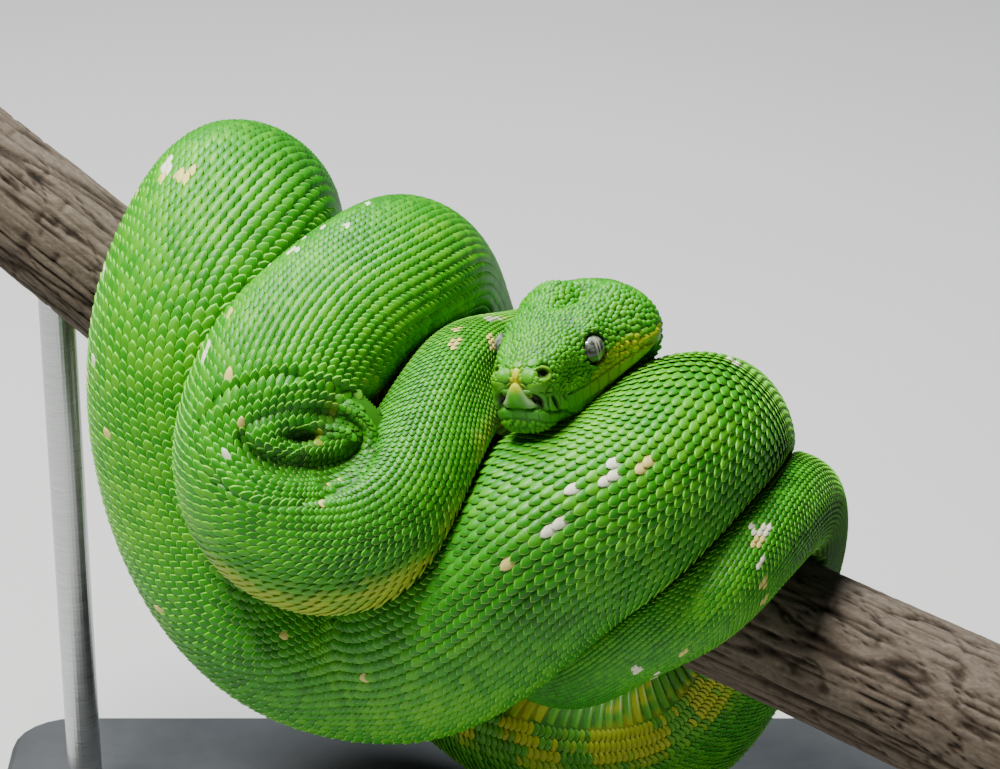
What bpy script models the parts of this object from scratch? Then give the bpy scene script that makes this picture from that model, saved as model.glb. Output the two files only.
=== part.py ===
"""A green tree python coiled on a short cut branch, which a plain display stand holds.

The snake is modelled whole, as one surface swept from snout to tail tip along its route, and
is then parted by thin cuts into head, neck, trunk and tail lengths. Where two coils press on
each other, or on the branch, the surface is flattened along the plane where they meet. The
tables are in millimetres about the middle of the coils; +X is to the snake's left end of the
perch as seen from the front, the front faces -Y, and +Z is up.
"""

import math

import bmesh
import bpy
import numpy as np
from mathutils import Matrix, Vector

MM = 0.001
# Where the middle of the coils stands, seen from the middle of the base's underside.
COILS_AT = np.array((0.4, -9.1, 137.0))

# --- the snake ---------------------------------------------------------------------------
HEAD_LENGTH = 46.0
# The head runs level from the back of the skull to the snout, turned and rolled a little.
SNOUT_TIP = np.array((3.0, -43.0, 18.0))
HEAD_BACKWARD = np.array((0.39, 0.92, 0.0))
HEAD_UP = (-0.13, 0.055, 0.99)
# Back from the snout tip: half width, rise to the crown, drop to the chin, mouth line.
HEAD_PROFILE = (
    (0.0, 2.0, 1.8, 5.0, -3.2),
    (0.7, 4.4, 3.5, 7.8, -3.4),
    (2.0, 5.9, 4.9, 9.5, -4.3),
    (5.0, 7.3, 6.6, 10.4, -5.6),
    (9.0, 8.3, 7.9, 10.7, -6.4),
    (13.0, 9.2, 8.6, 10.8, -6.6),
    (17.0, 10.2, 9.3, 11.0, -6.5),
    (22.0, 11.8, 9.9, 11.4, -6.2),
    (28.0, 14.0, 10.0, 11.8, -5.8),
    (34.0, 15.9, 10.0, 11.8, -5.4),
    (39.0, 14.9, 9.6, 11.0, -5.2),
    (44.0, 12.0, 9.0, 9.6, -5.0),
    (50.0, 9.6, 8.8, 9.0, -5.0),
)
# The back of the head leans this far to its left.
HEAD_LEAN = 1.6
MOUTH_LENGTH = 34.0
EYE_RADIUS = 2.8
EYE_BACK, EYE_ASIDE, EYE_RISE = 19.4, 8.6, 2.2

# The body behind the head: place of the middle line, radius, and where the spine points.
ROUTE = (
    # The neck turns back behind the head and comes forward again beside it.
    ((19.5, -3, 16), 8.3, (-0.1, 0, 1)),
    ((23, 8, 12), 8.6, (0, 0, 1)),
    ((19.5, 18, 5), 9.0, (0, 0, 1)),
    ((9, 19.5, 0), 9.3, (0, 0, 1)),
    ((1.5, 9, 2.5), 9.6, (0, 0, 1)),
    ((-2, -7, 8.5), 10, (0, 0, 1)),
    ((-8, -21, 12.3), 10.6, (0, -0.3, 1)),
    # The small front loop, and the crest that it rises to.
    ((-13.5, -33, 5.5), 12.5, (-0.2, -0.6, 1)),
    ((-19.5, -42, -5), 15.3, (0, -0.8, 1)),
    ((-34, -46.5, -11.5), 16.6, (0, -0.8, 1)),
    ((-47.5, -42, -3.5), 17.5, (-0.6, -0.5, 1)),
    ((-45, -31, 12.5), 18.0, (-0.6, -0.3, 1)),
    ((-35.5, -16, 18.5), 18.3, (-0.6, 0, 1)),
    ((-22.5, 6, 20.5), 18.1, (-0.3, 0, 1)),
    # Down behind the branch and up again on the right.
    ((-17, 28, 10), 17.6, (0, 1, 0.5)),
    ((-13, 42, -10), 18, (0, 1, 0)),
    ((-4, 50, -32), 18, (0, 1, 0)),
    ((14, 49, -45), 18, (0.2, 1, -0.3)),
    ((33, 37, -43), 18, (0.6, 0.8, -0.2)),
    ((43, 20, -30), 18, (0.7, 0.7, 0.2)),
    ((44.5, 3, -15), 18.1, (0.5, 0.4, 0.7)),
    ((43, -12, -8), 18.4, (0.1, 0, 1)),
    # The large front loop, the thickest of the body.
    ((37, -26, -2), 19.6, (0, -0.6, 1)),
    ((26, -36, -7), 21, (0, -0.8, 0.8)),
    ((11.5, -40.5, -13.5), 22, (0, -0.8, 0.7)),
    ((-9, -37, -34), 22.3, (0, -0.8, 0.6)),
    ((-22, -29, -44.5), 22.2, (0, -0.8, 0.5)),
    ((-42, -23, -43.5), 21.8, (-0.5, -0.8, 0.2)),
    ((-55, -18, -31), 21.6, (-0.8, -0.6, 0)),
    ((-63, -11, -8), 21.6, (-1, -0.3, 0.2)),
    ((-63, -1, 14), 21.7, (-1, 0, 0.6)),
    ((-57, 19, 26.5), 21.7, (-0.6, 0, 1)),
    # The long loop behind, which hangs below the branch.
    ((-55, 42, 20), 20.6, (0, 0.6, 0.8)),
    ((-54, 60, 0), 20, (0, 1, 0)),
    ((-50, 66, -30), 19.5, (0, 1, 0)),
    ((-35, 62, -62), 19.2, (0, 1, -0.3)),
    ((-10, 42, -90), 18.5, (0, 1, -0.8)),
    ((18, 20, -99), 17.5, (0, 0.3, -1)),
    ((40, 13, -90), 16, (0.3, 0.3, -1)),
    ((55, 11, -66), 14, (0.9, 0.3, -0.4)),
    ((62, 2, -40), 12.6, (1, 0.2, 0.2)),
    # The narrow last loop in front, then the tail round the branch.
    ((59.5, -17, -19), 11.8, (0.7, -0.1, 0.8)),
    ((51, -35, -18), 11.4, (0.5, -0.6, 0.7)),
    ((40.5, -43.5, -26.5), 11.2, (0.5, -0.9, 0.2)),
    ((28, -38.5, -37.8), 10.2, (0.4, -0.9, -0.2)),
    ((13, -21, -56), 9.4, (0.1, -0.7, -0.7)),
    ((-3, -3, -57), 8.2, (0, 0, -1)),
    ((-17, 13, -51), 7, (0, 1, -0.3)),
    ((-26, 27, -38), 6, (0, 1, 0.3)),
    ((-32, 36, -20), 5, (0, 1, 0.3)),
    ((-35, 31, -5), 4, (0, 0.3, 1)),
    ((-34, 17, -1), 3.2, (0, 0, 1)),
    ((-30, 3, -6), 2.4, (0, -0.3, 1)),
    ((-26, -7, -13), 1.3, (0, -0.3, 1)),
)
# The body's section, as parts of its radius: a low ridge above, a flatter belly below.
SPINE_RISE, BELLY_DROP = 1.02, 0.9
SPINE_CURVE, BELLY_CURVE, JAW_CURVE = 1.86, 2.3, 3.4
NECK_END, VENT_FROM_TIP = 130.0, 165.0
TURN_PER_LENGTH = math.radians(80)
LONGEST_LENGTH = 88.0
COIL_GAP = 0.7
HEAD_CLEAR, HEAD_MARGIN = 0.25, 1.1
BRANCH_GAP = 1.0
# How near the inside of a bend comes to the middle that it turns about.
BEND_SHARE = 0.86
CUT_GAP = 0.3
RING_POINTS = 20
RING_STEP, RING_TURN = 14.0, math.radians(14)
SAMPLE_STEP = 2.0

# --- the perch and the stand ---------------------------------------------------------------
BRANCH = (
    ((-128, 56, 38), 13.2),
    ((-92, 38, 15), 13.4),
    ((-58, 26, -9), 13.6),
    ((0, 2, -31), 15.0),
    ((46, -18, -42), 15.7),
    ((99, -40, -58), 16.3),
    ((128, -52, -67), 16.6),
)
BRANCH_POINTS, BRANCH_RING_STEP = 18, 13.0
BARK_RELIEF = 0.35
BASE_SIZE = (236.0, 132.0, 12.0)
BASE_CORNER = 14.0
BASE_EDGE = 1.5
ROD_RADIUS = 4.0
ROD_FIT = 0.3
ROD_SEAT = 6.0
ROD_X = {"left": -98.0, "right": 94.0}


# --- curves ----------------------------------------------------------------------------------
def catmull_rom(rows, per_span=12):
    """A smooth curve through the rows; its first three columns are places."""
    rows = np.asarray(rows, float)
    ends = (2 * rows[:1] - rows[1:2], 2 * rows[-1:] - rows[-2:-1])
    rows = np.concatenate((ends[0], rows, ends[1]))
    out = []
    for p0, p1, p2, p3 in zip(rows, rows[1:], rows[2:], rows[3:]):
        knots = [0.0]
        for a, b in ((p0, p1), (p1, p2), (p2, p3)):
            knots.append(knots[-1] + math.sqrt(np.linalg.norm((b - a)[:3])) + 1e-9)
        t0, t1, t2, t3 = knots
        for t in np.linspace(t1, t2, per_span, endpoint=False):
            a1 = (p0 * (t1 - t) + p1 * (t - t0)) / (t1 - t0)
            a2 = (p1 * (t2 - t) + p2 * (t - t1)) / (t2 - t1)
            a3 = (p2 * (t3 - t) + p3 * (t - t2)) / (t3 - t2)
            b1 = (a1 * (t2 - t) + a2 * (t - t0)) / (t2 - t0)
            b2 = (a2 * (t3 - t) + a3 * (t - t1)) / (t3 - t1)
            out.append((b1 * (t2 - t) + b2 * (t - t1)) / (t2 - t1))
    out.append(rows[-2])
    return np.array(out)


def evenly_spaced(samples, step):
    """The curve's samples, spaced evenly, and how far along it each lies."""
    gaps = np.linalg.norm(np.diff(samples[:, :3], axis=0), axis=1)
    along = np.concatenate(((0.0,), np.cumsum(gaps)))
    places = np.linspace(0, along[-1], max(2, round(along[-1] / step) + 1))
    columns = [np.interp(places, along, column) for column in samples.T]
    return np.stack(columns, axis=1), places


def unit(vectors):
    return vectors / np.linalg.norm(vectors, axis=-1, keepdims=True)


def relaxed(values, passes):
    values = values.copy()
    for _ in range(passes):
        values[1:-1] = (values[:-2] + 2 * values[1:-1] + values[2:]) / 4
    return values


def across(vectors, tangents):
    """The vectors with what lies along the tangents taken out, at unit length."""
    return unit(vectors - (vectors * tangents).sum(axis=-1, keepdims=True) * tangents)


class Snake:
    """The body's middle line from snout to tail tip, its frame, and its surface."""

    def __init__(self):
        back = unit(HEAD_BACKWARD)
        head_places = (0.0, 10.0, 20.0, 30.0, 38.0)
        rows = [(*(SNOUT_TIP + back * a), 12.0, *HEAD_UP) for a in head_places]
        rows += [(*place, radius, *spine) for place, radius, spine in ROUTE]
        samples, _ = evenly_spaced(catmull_rom(rows), SAMPLE_STEP)
        samples, self.along = evenly_spaced(relaxed(samples, 12), SAMPLE_STEP)
        self.centre = samples[:, :3]
        self.radius = samples[:, 3]
        self.length = self.along[-1]
        tangent = unit(np.gradient(self.centre, axis=0))
        spine = across(samples[:, 4:7], tangent)
        for _ in range(10):
            spine = across(relaxed(spine, 1), tangent)
        rigid = 1 - smooth_step((self.along - MOUTH_LENGTH - 2) / 12)[:, None]
        self.tangent = unit(tangent * (1 - rigid) + back * rigid)
        self.spine = across(spine * (1 - rigid) + np.array(HEAD_UP) * rigid, self.tangent)
        left = np.cross(self.tangent, self.spine)
        self.centre = self.centre + left * lean_at(self.along)[:, None]
        self.curvature = np.gradient(self.tangent, self.along, axis=0)
        self.branch, _ = evenly_spaced(catmull_rom([(*p, r) for p, r in BRANCH]), 3.0)

    def at(self, values, place):
        """One of the arrays along the body, read between its samples."""
        columns = [np.interp(place, self.along, column) for column in values.T]
        return np.array(columns)

    def reach(self, place, angles):
        """How far the free surface stands from the middle line, at angles from the spine."""
        radius = np.interp(place, self.along, self.radius)
        head = 1 - smooth_step((place - HEAD_LENGTH + 6) / 12)
        profile = profile_at(min(place, HEAD_PROFILE[-1][0]))
        side = radius * (1 - head) + profile[0] * head
        up = SPINE_RISE * radius * (1 - head) + profile[1] * head
        down = BELLY_DROP * radius * (1 - head) + profile[2] * head
        cosine, sine = np.cos(angles), np.sin(angles)
        height = np.where(cosine > 0, up, down)
        upper = SPINE_CURVE * (1 - head) + 2.25 * head
        lower = BELLY_CURVE * (1 - head) + JAW_CURVE * head
        power = np.where(cosine > 0, upper, lower)
        return (np.abs(cosine / height) ** power + np.abs(sine / side) ** power) ** (-1 / power)

    def ring(self, place, angles):
        """One closed ring of the surface: its middle, its tangent and its points."""
        centre = self.at(self.centre, place)
        tangent = unit(self.at(self.tangent, place))
        spine = across(self.at(self.spine, place), tangent)
        side = np.cross(tangent, spine)
        rays = np.cos(angles)[:, None] * spine + np.sin(angles)[:, None] * side
        reach = self.reach(place, angles)
        inward = rays @ self.at(self.curvature, place)
        bend_limit = np.where(inward > 1e-4, BEND_SHARE / np.maximum(inward, 1e-4), 1e9)
        reach = np.minimum(reach, bend_limit)
        reach = np.minimum(reach, self.coil_limit(place, centre, rays))
        reach = np.minimum(reach, self.branch_limit(centre, rays))
        return centre, tangent, centre + rays * reach[:, None]

    def coil_limit(self, place, centre, rays):
        """How far each ray runs before the plane between this coil and another."""
        radius = np.interp(place, self.along, self.radius)
        to_other = self.centre - centre
        apart = (to_other**2).sum(axis=1)
        other = np.abs(self.along - place) > 0.6 * (radius + self.radius)
        other &= apart < (1.4 * (radius + self.radius) + 4) ** 2
        if not other.any():
            return np.full(len(rays), 1e9)
        closing = 2 * rays @ to_other[other].T
        planes = apart[other] + radius**2 - self.radius[other] ** 2
        if place < HEAD_LENGTH:
            gap = np.sqrt(apart[other]) - self.radius[other] - HEAD_CLEAR
            planes = np.maximum(planes, 2 * gap * np.sqrt(apart[other]))
        limits = np.where(closing > 1e-6, planes / np.maximum(closing, 1e-6), 1e9)
        margin = HEAD_MARGIN if place < HEAD_LENGTH else COIL_GAP / 2
        return limits.min(axis=1) - margin

    def branch_limit(self, centre, rays):
        """How far each ray runs before it meets the branch."""
        to_branch = self.branch[:, :3] - centre
        clear = self.branch[:, 3] + BARK_RELIEF + BRANCH_GAP
        closing = rays @ to_branch.T
        inside = closing**2 - (to_branch**2).sum(axis=1) + clear**2
        hits = (inside > 0) & (closing > 0)
        limits = np.where(hits, closing - np.sqrt(np.maximum(inside, 0)), 1e9)
        return np.maximum(limits.min(axis=1), 1.0)

    def lengths(self):
        """Where the trunk is parted: a length ends where it has turned or run far enough."""
        turns = np.linalg.norm(self.curvature, axis=1) * SAMPLE_STEP
        cuts = [HEAD_LENGTH]
        turned = 0.0
        for place, turn in zip(self.along, turns):
            if place <= HEAD_LENGTH:
                continue
            turned += turn
            if turned > TURN_PER_LENGTH or place - cuts[-1] > LONGEST_LENGTH:
                cuts.append(place)
                turned = 0.0
        if self.length - cuts[-1] < 20:
            cuts.pop()
        return cuts + [self.length]


def smooth_step(t):
    t = np.clip(t, 0, 1)
    return t * t * (3 - 2 * t)


def smooth_profile():
    """The head's profile table, drawn as smooth curves."""
    table = np.array(HEAD_PROFILE)
    flat = np.zeros((len(table), 2))
    return catmull_rom(np.c_[table[:, 0], flat, table[:, 1:]])


PROFILE = smooth_profile()


def profile_at(back):
    """The head's half width, crown, chin and mouth line, this far back from the snout tip."""
    return np.array([np.interp(back, PROFILE[:, 0], column) for column in PROFILE.T[3:]])


def lean_at(back):
    """How far the head's middle stands to its left, this far back."""
    return HEAD_LEAN * smooth_step((back - 14) / 14) * (1 - smooth_step((back - 36) / 14))


# --- meshes ----------------------------------------------------------------------------------
def material(name, colour, roughness, metallic=0.0):
    made = bpy.data.materials.new(name)
    made.use_nodes = True
    shader = made.node_tree.nodes["Principled BSDF"]
    shader.inputs["Base Color"].default_value = (*colour, 1)
    shader.inputs["Roughness"].default_value = roughness
    shader.inputs["Metallic"].default_value = metallic
    made.diffuse_color = (*colour, 1)
    return made


def add_object(name, bm, look):
    bmesh.ops.recalc_face_normals(bm, faces=bm.faces)
    mesh = bpy.data.meshes.new(name)
    bm.to_mesh(mesh)
    bm.free()
    mesh.materials.append(look)
    obj = bpy.data.objects.new(name, mesh)
    bpy.context.scene.collection.objects.link(obj)
    return obj


def placed(point):
    """A point of the tables, in metres and standing on the base."""
    return Vector((np.asarray(point) + COILS_AT) * MM)


def loft(name, rings, look):
    """A closed body through rings of points, with a flat face at each end."""
    bm = bmesh.new()
    loops = [[bm.verts.new(placed(point)) for point in ring] for ring in rings]
    for first, second in zip(loops, loops[1:]):
        for i in range(len(first)):
            j = (i + 1) % len(first)
            bm.faces.new((first[i], first[j], second[j], second[i]))
    bm.faces.new(loops[0][::-1])
    bm.faces.new(loops[-1])
    return add_object(name, bm, look)


def cylinder(name, radius, bottom, top, look, sides=32):
    """An upright cylinder between two places of the tables."""
    low, high = placed(bottom), placed(top)
    bm = bmesh.new()
    bmesh.ops.create_cone(
        bm,
        cap_ends=True,
        segments=sides,
        radius1=radius * MM,
        radius2=radius * MM,
        depth=high.z - low.z,
    )
    obj = add_object(name, bm, look)
    obj.location = (low + high) / 2
    return obj


def ball(name, radius, middle, look):
    bm = bmesh.new()
    bmesh.ops.create_uvsphere(bm, u_segments=14, v_segments=9, radius=radius * MM)
    obj = add_object(name, bm, look)
    obj.location = placed(middle)
    return obj


def cut_out(target, cutter):
    """Cuts one object's shape out of another, and keeps the cutter out of the render."""
    cutter.hide_render = True
    cutter.display_type = "WIRE"
    boolean = target.modifiers.new("Cut " + cutter.name, "BOOLEAN")
    boolean.operation = "DIFFERENCE"
    boolean.solver = "EXACT"
    boolean.object = cutter


# --- the snake's nodes -------------------------------------------------------------------------
ANGLES = np.arange(RING_POINTS) * 2 * math.pi / RING_POINTS


def cut_ring(snake, place, ahead):
    """The ring at a cut, drawn back from it by half the gap, ahead or behind."""
    _, tangent, points = snake.ring(place, ANGLES)
    return points + tangent * ahead * CUT_GAP / 2


def body_length(snake, name, start, end, look):
    """One length of the body, with more rings where it bends."""
    inside = (snake.along > start) & (snake.along < end)
    turned = np.linalg.norm(snake.curvature[inside], axis=1).sum() * SAMPLE_STEP
    count = max(2, math.ceil((end - start) / RING_STEP), math.ceil(turned / RING_TURN))
    places = np.linspace(start, end, count + 1)
    rings = [cut_ring(snake, start, 1)]
    rings += [snake.ring(place, ANGLES)[2] for place in places[1:-1]]
    last_cut = end < snake.length
    rings.append(cut_ring(snake, end, -1) if last_cut else snake.ring(end, ANGLES)[2])
    return loft(name, rings, look)


def head_point(back, aside, rise):
    """A place in the head: back from the snout tip, towards its left, and above its axis."""
    backward = unit(HEAD_BACKWARD)
    up = across(np.array(HEAD_UP), backward)
    left = np.cross(up, -backward)
    return SNOUT_TIP + backward * back + left * aside + up * rise


def split_at_mouth(points, keep_upper):
    """A head ring with everything beyond the mouth line pressed flat onto it."""
    backward = unit(HEAD_BACKWARD)
    up = across(np.array(HEAD_UP), backward)
    level = profile_at((points - SNOUT_TIP) @ backward)[3]
    level += CUT_GAP / 2 if keep_upper else -CUT_GAP / 2
    rise = (points - SNOUT_TIP) @ up
    change = np.maximum(level - rise, 0) if keep_upper else np.minimum(level - rise, 0)
    return points + change[:, None] * up


def make_head(snake, look):
    """The head down to the mouth line, and whole behind the corner of the mouth."""
    backs = [0.0, 0.7, 2.0, 4.0, 7.0, 10.5, 14.0, 17.5, 21.0, 24.5, 28.0, 31.0, MOUTH_LENGTH]
    rings = [split_at_mouth(snake.ring(back, ANGLES)[2], True) for back in backs]
    for back in (MOUTH_LENGTH + CUT_GAP, 37.0, 40.0, 43.0):
        rings.append(snake.ring(back, ANGLES)[2])
    rings.append(cut_ring(snake, HEAD_LENGTH, -1))
    head = loft("head", rings, look)
    jaw = [split_at_mouth(snake.ring(back, ANGLES)[2], False) for back in backs]
    loft("lower_jaw", jaw, look)
    return head


def make_eyes(head, eye_look, cutter_look):
    for name, aside in (("eye_left", EYE_ASIDE), ("eye_right", -EYE_ASIDE)):
        middle = head_point(EYE_BACK, aside, EYE_RISE)
        ball(name, EYE_RADIUS, middle, eye_look)
        cut_out(head, ball(name + "_socket", EYE_RADIUS + CUT_GAP, middle, cutter_look))


def make_body(snake, look):
    """Neck, trunk and tail, each in lengths numbered from the head."""
    cuts = snake.lengths()
    counts = {"neck": 0, "trunk": 0, "tail": 0}
    for start, end in zip(cuts, cuts[1:]):
        middle = (start + end) / 2
        region = "trunk"
        if middle < NECK_END:
            region = "neck"
        if middle > snake.length - VENT_FROM_TIP:
            region = "tail"
        counts[region] += 1
        body_length(snake, f"{region}_{counts[region]:02d}", start, end, look)


# --- the perch and the stand ---------------------------------------------------------------
def branch_at(x):
    """The branch's middle and radius where it crosses this x."""
    line, _ = evenly_spaced(catmull_rom([(*place, r) for place, r in BRANCH]), 2.0)
    return np.array([np.interp(x, line[:, 0], column) for column in line.T])


def make_branch(look):
    """A short cut length of branch, with low ribs of bark along it."""
    rows, along = evenly_spaced(catmull_rom([(*p, r) for p, r in BRANCH]), BRANCH_RING_STEP)
    tangents = unit(np.gradient(rows[:, :3], axis=0))
    up = across(np.tile((0.0, 0.0, 1.0), (len(rows), 1)), tangents)
    side = np.cross(tangents, up)
    angles = np.arange(BRANCH_POINTS) * 2 * math.pi / BRANCH_POINTS
    rings = []
    for row, place, high, wide in zip(rows, along, up, side):
        ribs = np.sin(angles * 5 + place / 23) * np.cos(angles * 3 - place / 31)
        reach = row[3] + BARK_RELIEF * ribs
        rays = np.cos(angles)[:, None] * high + np.sin(angles)[:, None] * wide
        rings.append(row[:3] + rays * reach[:, None])
    return loft("perch_branch", rings, look)


def make_stand(branch, base_look, rod_look):
    """A flat base and two rods, each seated in a blind hole at both ends."""
    width, depth, height = BASE_SIZE
    bm = bmesh.new()
    bmesh.ops.create_cube(bm, size=1, matrix=Matrix.Diagonal((*(np.array(BASE_SIZE) * MM), 1)))
    upright = [edge for edge in bm.edges if abs((edge.verts[0].co - edge.verts[1].co).z) > MM]
    bmesh.ops.bevel(
        bm, geom=upright, offset=BASE_CORNER * MM, segments=6, profile=0.5, affect="EDGES"
    )
    rim = [edge for edge in bm.edges if all(vert.co.z > 0 for vert in edge.verts)]
    bmesh.ops.bevel(bm, geom=rim, offset=BASE_EDGE * MM, segments=2, profile=0.5, affect="EDGES")
    base = add_object("stand_base", bm, base_look)
    base.location.z = height / 2 * MM
    base_top = height - COILS_AT[2]
    for side, x in ROD_X.items():
        middle = branch_at(x)
        underside = middle[2] - middle[3]
        foot = np.array((x, middle[1], base_top - ROD_SEAT))
        top = np.array((x, middle[1], underside + ROD_SEAT))
        cylinder(f"stand_rod_{side}", ROD_RADIUS, foot, top, rod_look)
        slack = np.array((0, 0, ROD_FIT))
        low = cylinder(f"base_hole_{side}", ROD_RADIUS + ROD_FIT, foot - slack, top, rod_look)
        high = cylinder(f"perch_hole_{side}", ROD_RADIUS + ROD_FIT, foot, top + slack, rod_look)
        cut_out(base, low)
        cut_out(branch, high)


def main():
    for obj in list(bpy.data.objects):
        bpy.data.objects.remove(obj)
    skin = material("green_scales", (0.10, 0.42, 0.02), 0.42)
    eye = material("eye_silver", (0.45, 0.46, 0.40), 0.1)
    bark = material("bark", (0.20, 0.15, 0.12), 0.9)
    paint = material("stand_paint", (0.05, 0.05, 0.055), 0.5)
    steel = material("stand_steel", (0.55, 0.55, 0.56), 0.35, 1.0)
    snake = Snake()
    head = make_head(snake, skin)
    make_eyes(head, eye, skin)
    make_body(snake, skin)
    make_stand(make_branch(bark), paint, steel)
    print(f"snake {snake.length:.0f} mm long, cuts at {[round(c) for c in snake.lengths()]}")


main()
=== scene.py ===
# %% [markdown]
# # A green tree python, coiled on its perch
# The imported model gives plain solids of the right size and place. This lesson dresses them: one
# skin over the whole snake, thousands of solid scales on it, a worked head with pits and lips,
# silver eyes, a weathered branch, and a plain stand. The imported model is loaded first, because
# every piece below is placed against it.

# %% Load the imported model
import math

import bmesh
import bpy
import numpy as np
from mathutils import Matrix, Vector, bvhtree, kdtree, noise


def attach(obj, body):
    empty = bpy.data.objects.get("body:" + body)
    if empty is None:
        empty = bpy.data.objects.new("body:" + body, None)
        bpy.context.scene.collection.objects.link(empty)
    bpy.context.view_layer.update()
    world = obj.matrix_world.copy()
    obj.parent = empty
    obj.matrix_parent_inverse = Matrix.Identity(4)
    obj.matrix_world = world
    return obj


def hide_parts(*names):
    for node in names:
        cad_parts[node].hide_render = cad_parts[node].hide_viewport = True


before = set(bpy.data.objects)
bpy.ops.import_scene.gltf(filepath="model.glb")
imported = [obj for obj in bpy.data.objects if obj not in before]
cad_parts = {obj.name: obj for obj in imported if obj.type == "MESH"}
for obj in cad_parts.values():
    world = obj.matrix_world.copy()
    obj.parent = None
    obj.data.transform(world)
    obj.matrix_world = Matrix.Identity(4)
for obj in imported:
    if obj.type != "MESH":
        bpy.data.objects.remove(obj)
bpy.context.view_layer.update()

MM = 0.001


def new_object(name, data):
    made = bpy.data.objects.new(name, data)
    bpy.context.scene.collection.objects.link(made)
    return made


# %% [markdown]
# ## Camera, floor and light
# The animal is seen from the front and a little above, through a long lens, so its coils keep
# their true proportions. The floor is one pale sheet that runs out of sight. Soft light comes
# from large area lamps: a broad key high on the left gives the long pale glints along the
# backs of the coils, and weaker ones fill the shade, so that colour carries the form.

# %% The camera
# Where the middle of the coils stands, seen from the middle of the base's underside.
COILS_AT = np.array((0.4, -9.1, 137.0))
CAMERA_AWAY = 0.7
CAMERA_RISE = math.radians(25)
LENS, SENSOR_WIDTH = 120, 36


def add_camera():
    data = bpy.data.cameras.new("camera")
    data.lens = LENS
    data.sensor_width = SENSOR_WIDTH
    data.clip_start = 0.01
    camera = new_object("camera", data)
    away = Vector((0, -math.cos(CAMERA_RISE), math.sin(CAMERA_RISE))) * CAMERA_AWAY
    camera.location = Vector(COILS_AT * MM) + away
    camera.rotation_euler = (math.pi / 2 - CAMERA_RISE, 0, 0)
    bpy.context.scene.camera = camera
    print("camera at", [round(v, 4) for v in camera.location])


add_camera()

# %% Soft studio lamps and a dim room
LAMPS = (
    # name, place, aimed at, size, power, colour
    ("key", (-0.34, -0.16, 1.03), (-0.02, 0.0, 0.13), 0.32, 20.0, (1.0, 0.985, 0.92)),
    ("top", (-0.12, 0.34, 1.05), (0.0, 0.02, 0.13), 0.40, 18.0, (0.88, 0.95, 1.0)),
    ("front", (0.45, -1.1, 0.45), (0.0, 0.0, 0.12), 0.9, 0.6, (1.0, 1.0, 1.0)),
)
ROOM_COLOUR, ROOM_STRENGTH = (0.86, 0.9, 0.95), 0.06


def add_lamps():
    for name, place, aim, size, power, colour in LAMPS:
        data = bpy.data.lights.new(name, "AREA")
        data.shape = "DISK"
        data.size = size
        data.energy = power
        data.color = colour
        lamp = new_object(name, data)
        lamp.location = place
        lamp.rotation_euler = (Vector(aim) - Vector(place)).to_track_quat("-Z", "Y").to_euler()
    world = bpy.data.worlds.new("room")
    world.use_nodes = True
    background = world.node_tree.nodes["Background"]
    background.inputs["Color"].default_value = (*ROOM_COLOUR, 1)
    background.inputs["Strength"].default_value = ROOM_STRENGTH
    bpy.context.scene.world = world
    print(len(LAMPS), "lamps and a dim room")


add_lamps()

# %% [markdown]
# ## Small helpers for materials
# A material is a small network of nodes. A few short functions keep each network readable: one
# adds a node and sets its inputs, one joins two sockets, and one makes a colour ramp from rows
# of position and colour.


# %% Node helpers
def new_material(name):
    made = bpy.data.materials.new(name)
    made.use_nodes = True
    return made, made.node_tree, made.node_tree.nodes["Principled BSDF"]


def add_node(tree, kind, settings=None, **inputs):
    node = tree.nodes.new(kind)
    for key, value in (settings or {}).items():
        setattr(node, key, value)
    for key, value in inputs.items():
        node.inputs[key.replace("_", " ")].default_value = value
    return node


def ramp(tree, source, rows):
    """A colour ramp through (position, colour) rows, fed by a socket."""
    node = tree.nodes.new("ShaderNodeValToRGB")
    for _ in rows[2:]:
        node.color_ramp.elements.new(0.5)
    for element, (position, colour) in zip(node.color_ramp.elements, rows):
        element.position = position
        element.color = (*colour, 1)
    tree.links.new(source, node.inputs["Fac"])
    return node.outputs["Color"]


def blend(tree, factor, first, second, mode="MIX"):
    """Mixes two colours; each may be a socket or a plain colour, and so may the factor."""
    node = tree.nodes.new("ShaderNodeMix")
    node.data_type = "RGBA"
    node.blend_type = mode
    for index, value in ((0, factor), (6, first), (7, second)):
        if isinstance(value, bpy.types.NodeSocket):
            tree.links.new(value, node.inputs[index])
        else:
            node.inputs[index].default_value = value if index == 0 else (*value, 1)
    return node.outputs[2]


def math_node(tree, operation, first, second=0.0, clamp=False):
    node = tree.nodes.new("ShaderNodeMath")
    node.operation = operation
    node.use_clamp = clamp
    for index, value in ((0, first), (1, second)):
        if isinstance(value, bpy.types.NodeSocket):
            tree.links.new(value, node.inputs[index])
        else:
            node.inputs[index].default_value = value
    return node.outputs[0]


def attribute(tree, name):
    return add_node(tree, "ShaderNodeAttribute", {"attribute_name": name}).outputs["Fac"]


def noise_at(tree, scale, detail=3.0, roughness=0.55, stretch=(1, 1, 1)):
    """Fractal noise on Object coordinates, with the lumps stretched if wanted."""
    place = tree.nodes.new("ShaderNodeTexCoord")
    mapping = add_node(tree, "ShaderNodeMapping", Scale=stretch)
    tree.links.new(place.outputs["Object"], mapping.inputs["Vector"])
    made = add_node(tree, "ShaderNodeTexNoise", Scale=scale, Detail=detail, Roughness=roughness)
    tree.links.new(mapping.outputs["Vector"], made.inputs["Vector"])
    return made.outputs["Fac"]


def bump(tree, shader, height, strength, distance):
    node = add_node(tree, "ShaderNodeBump", Strength=strength, Distance=distance)
    tree.links.new(height, node.inputs["Height"])
    tree.links.new(node.outputs["Normal"], shader.inputs["Normal"])


# %% The floor
FLOOR_HALF = 4.0
FLOOR_TINTS = ((0.3, (0.50, 0.50, 0.48)), (0.7, (0.53, 0.53, 0.51)))


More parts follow.
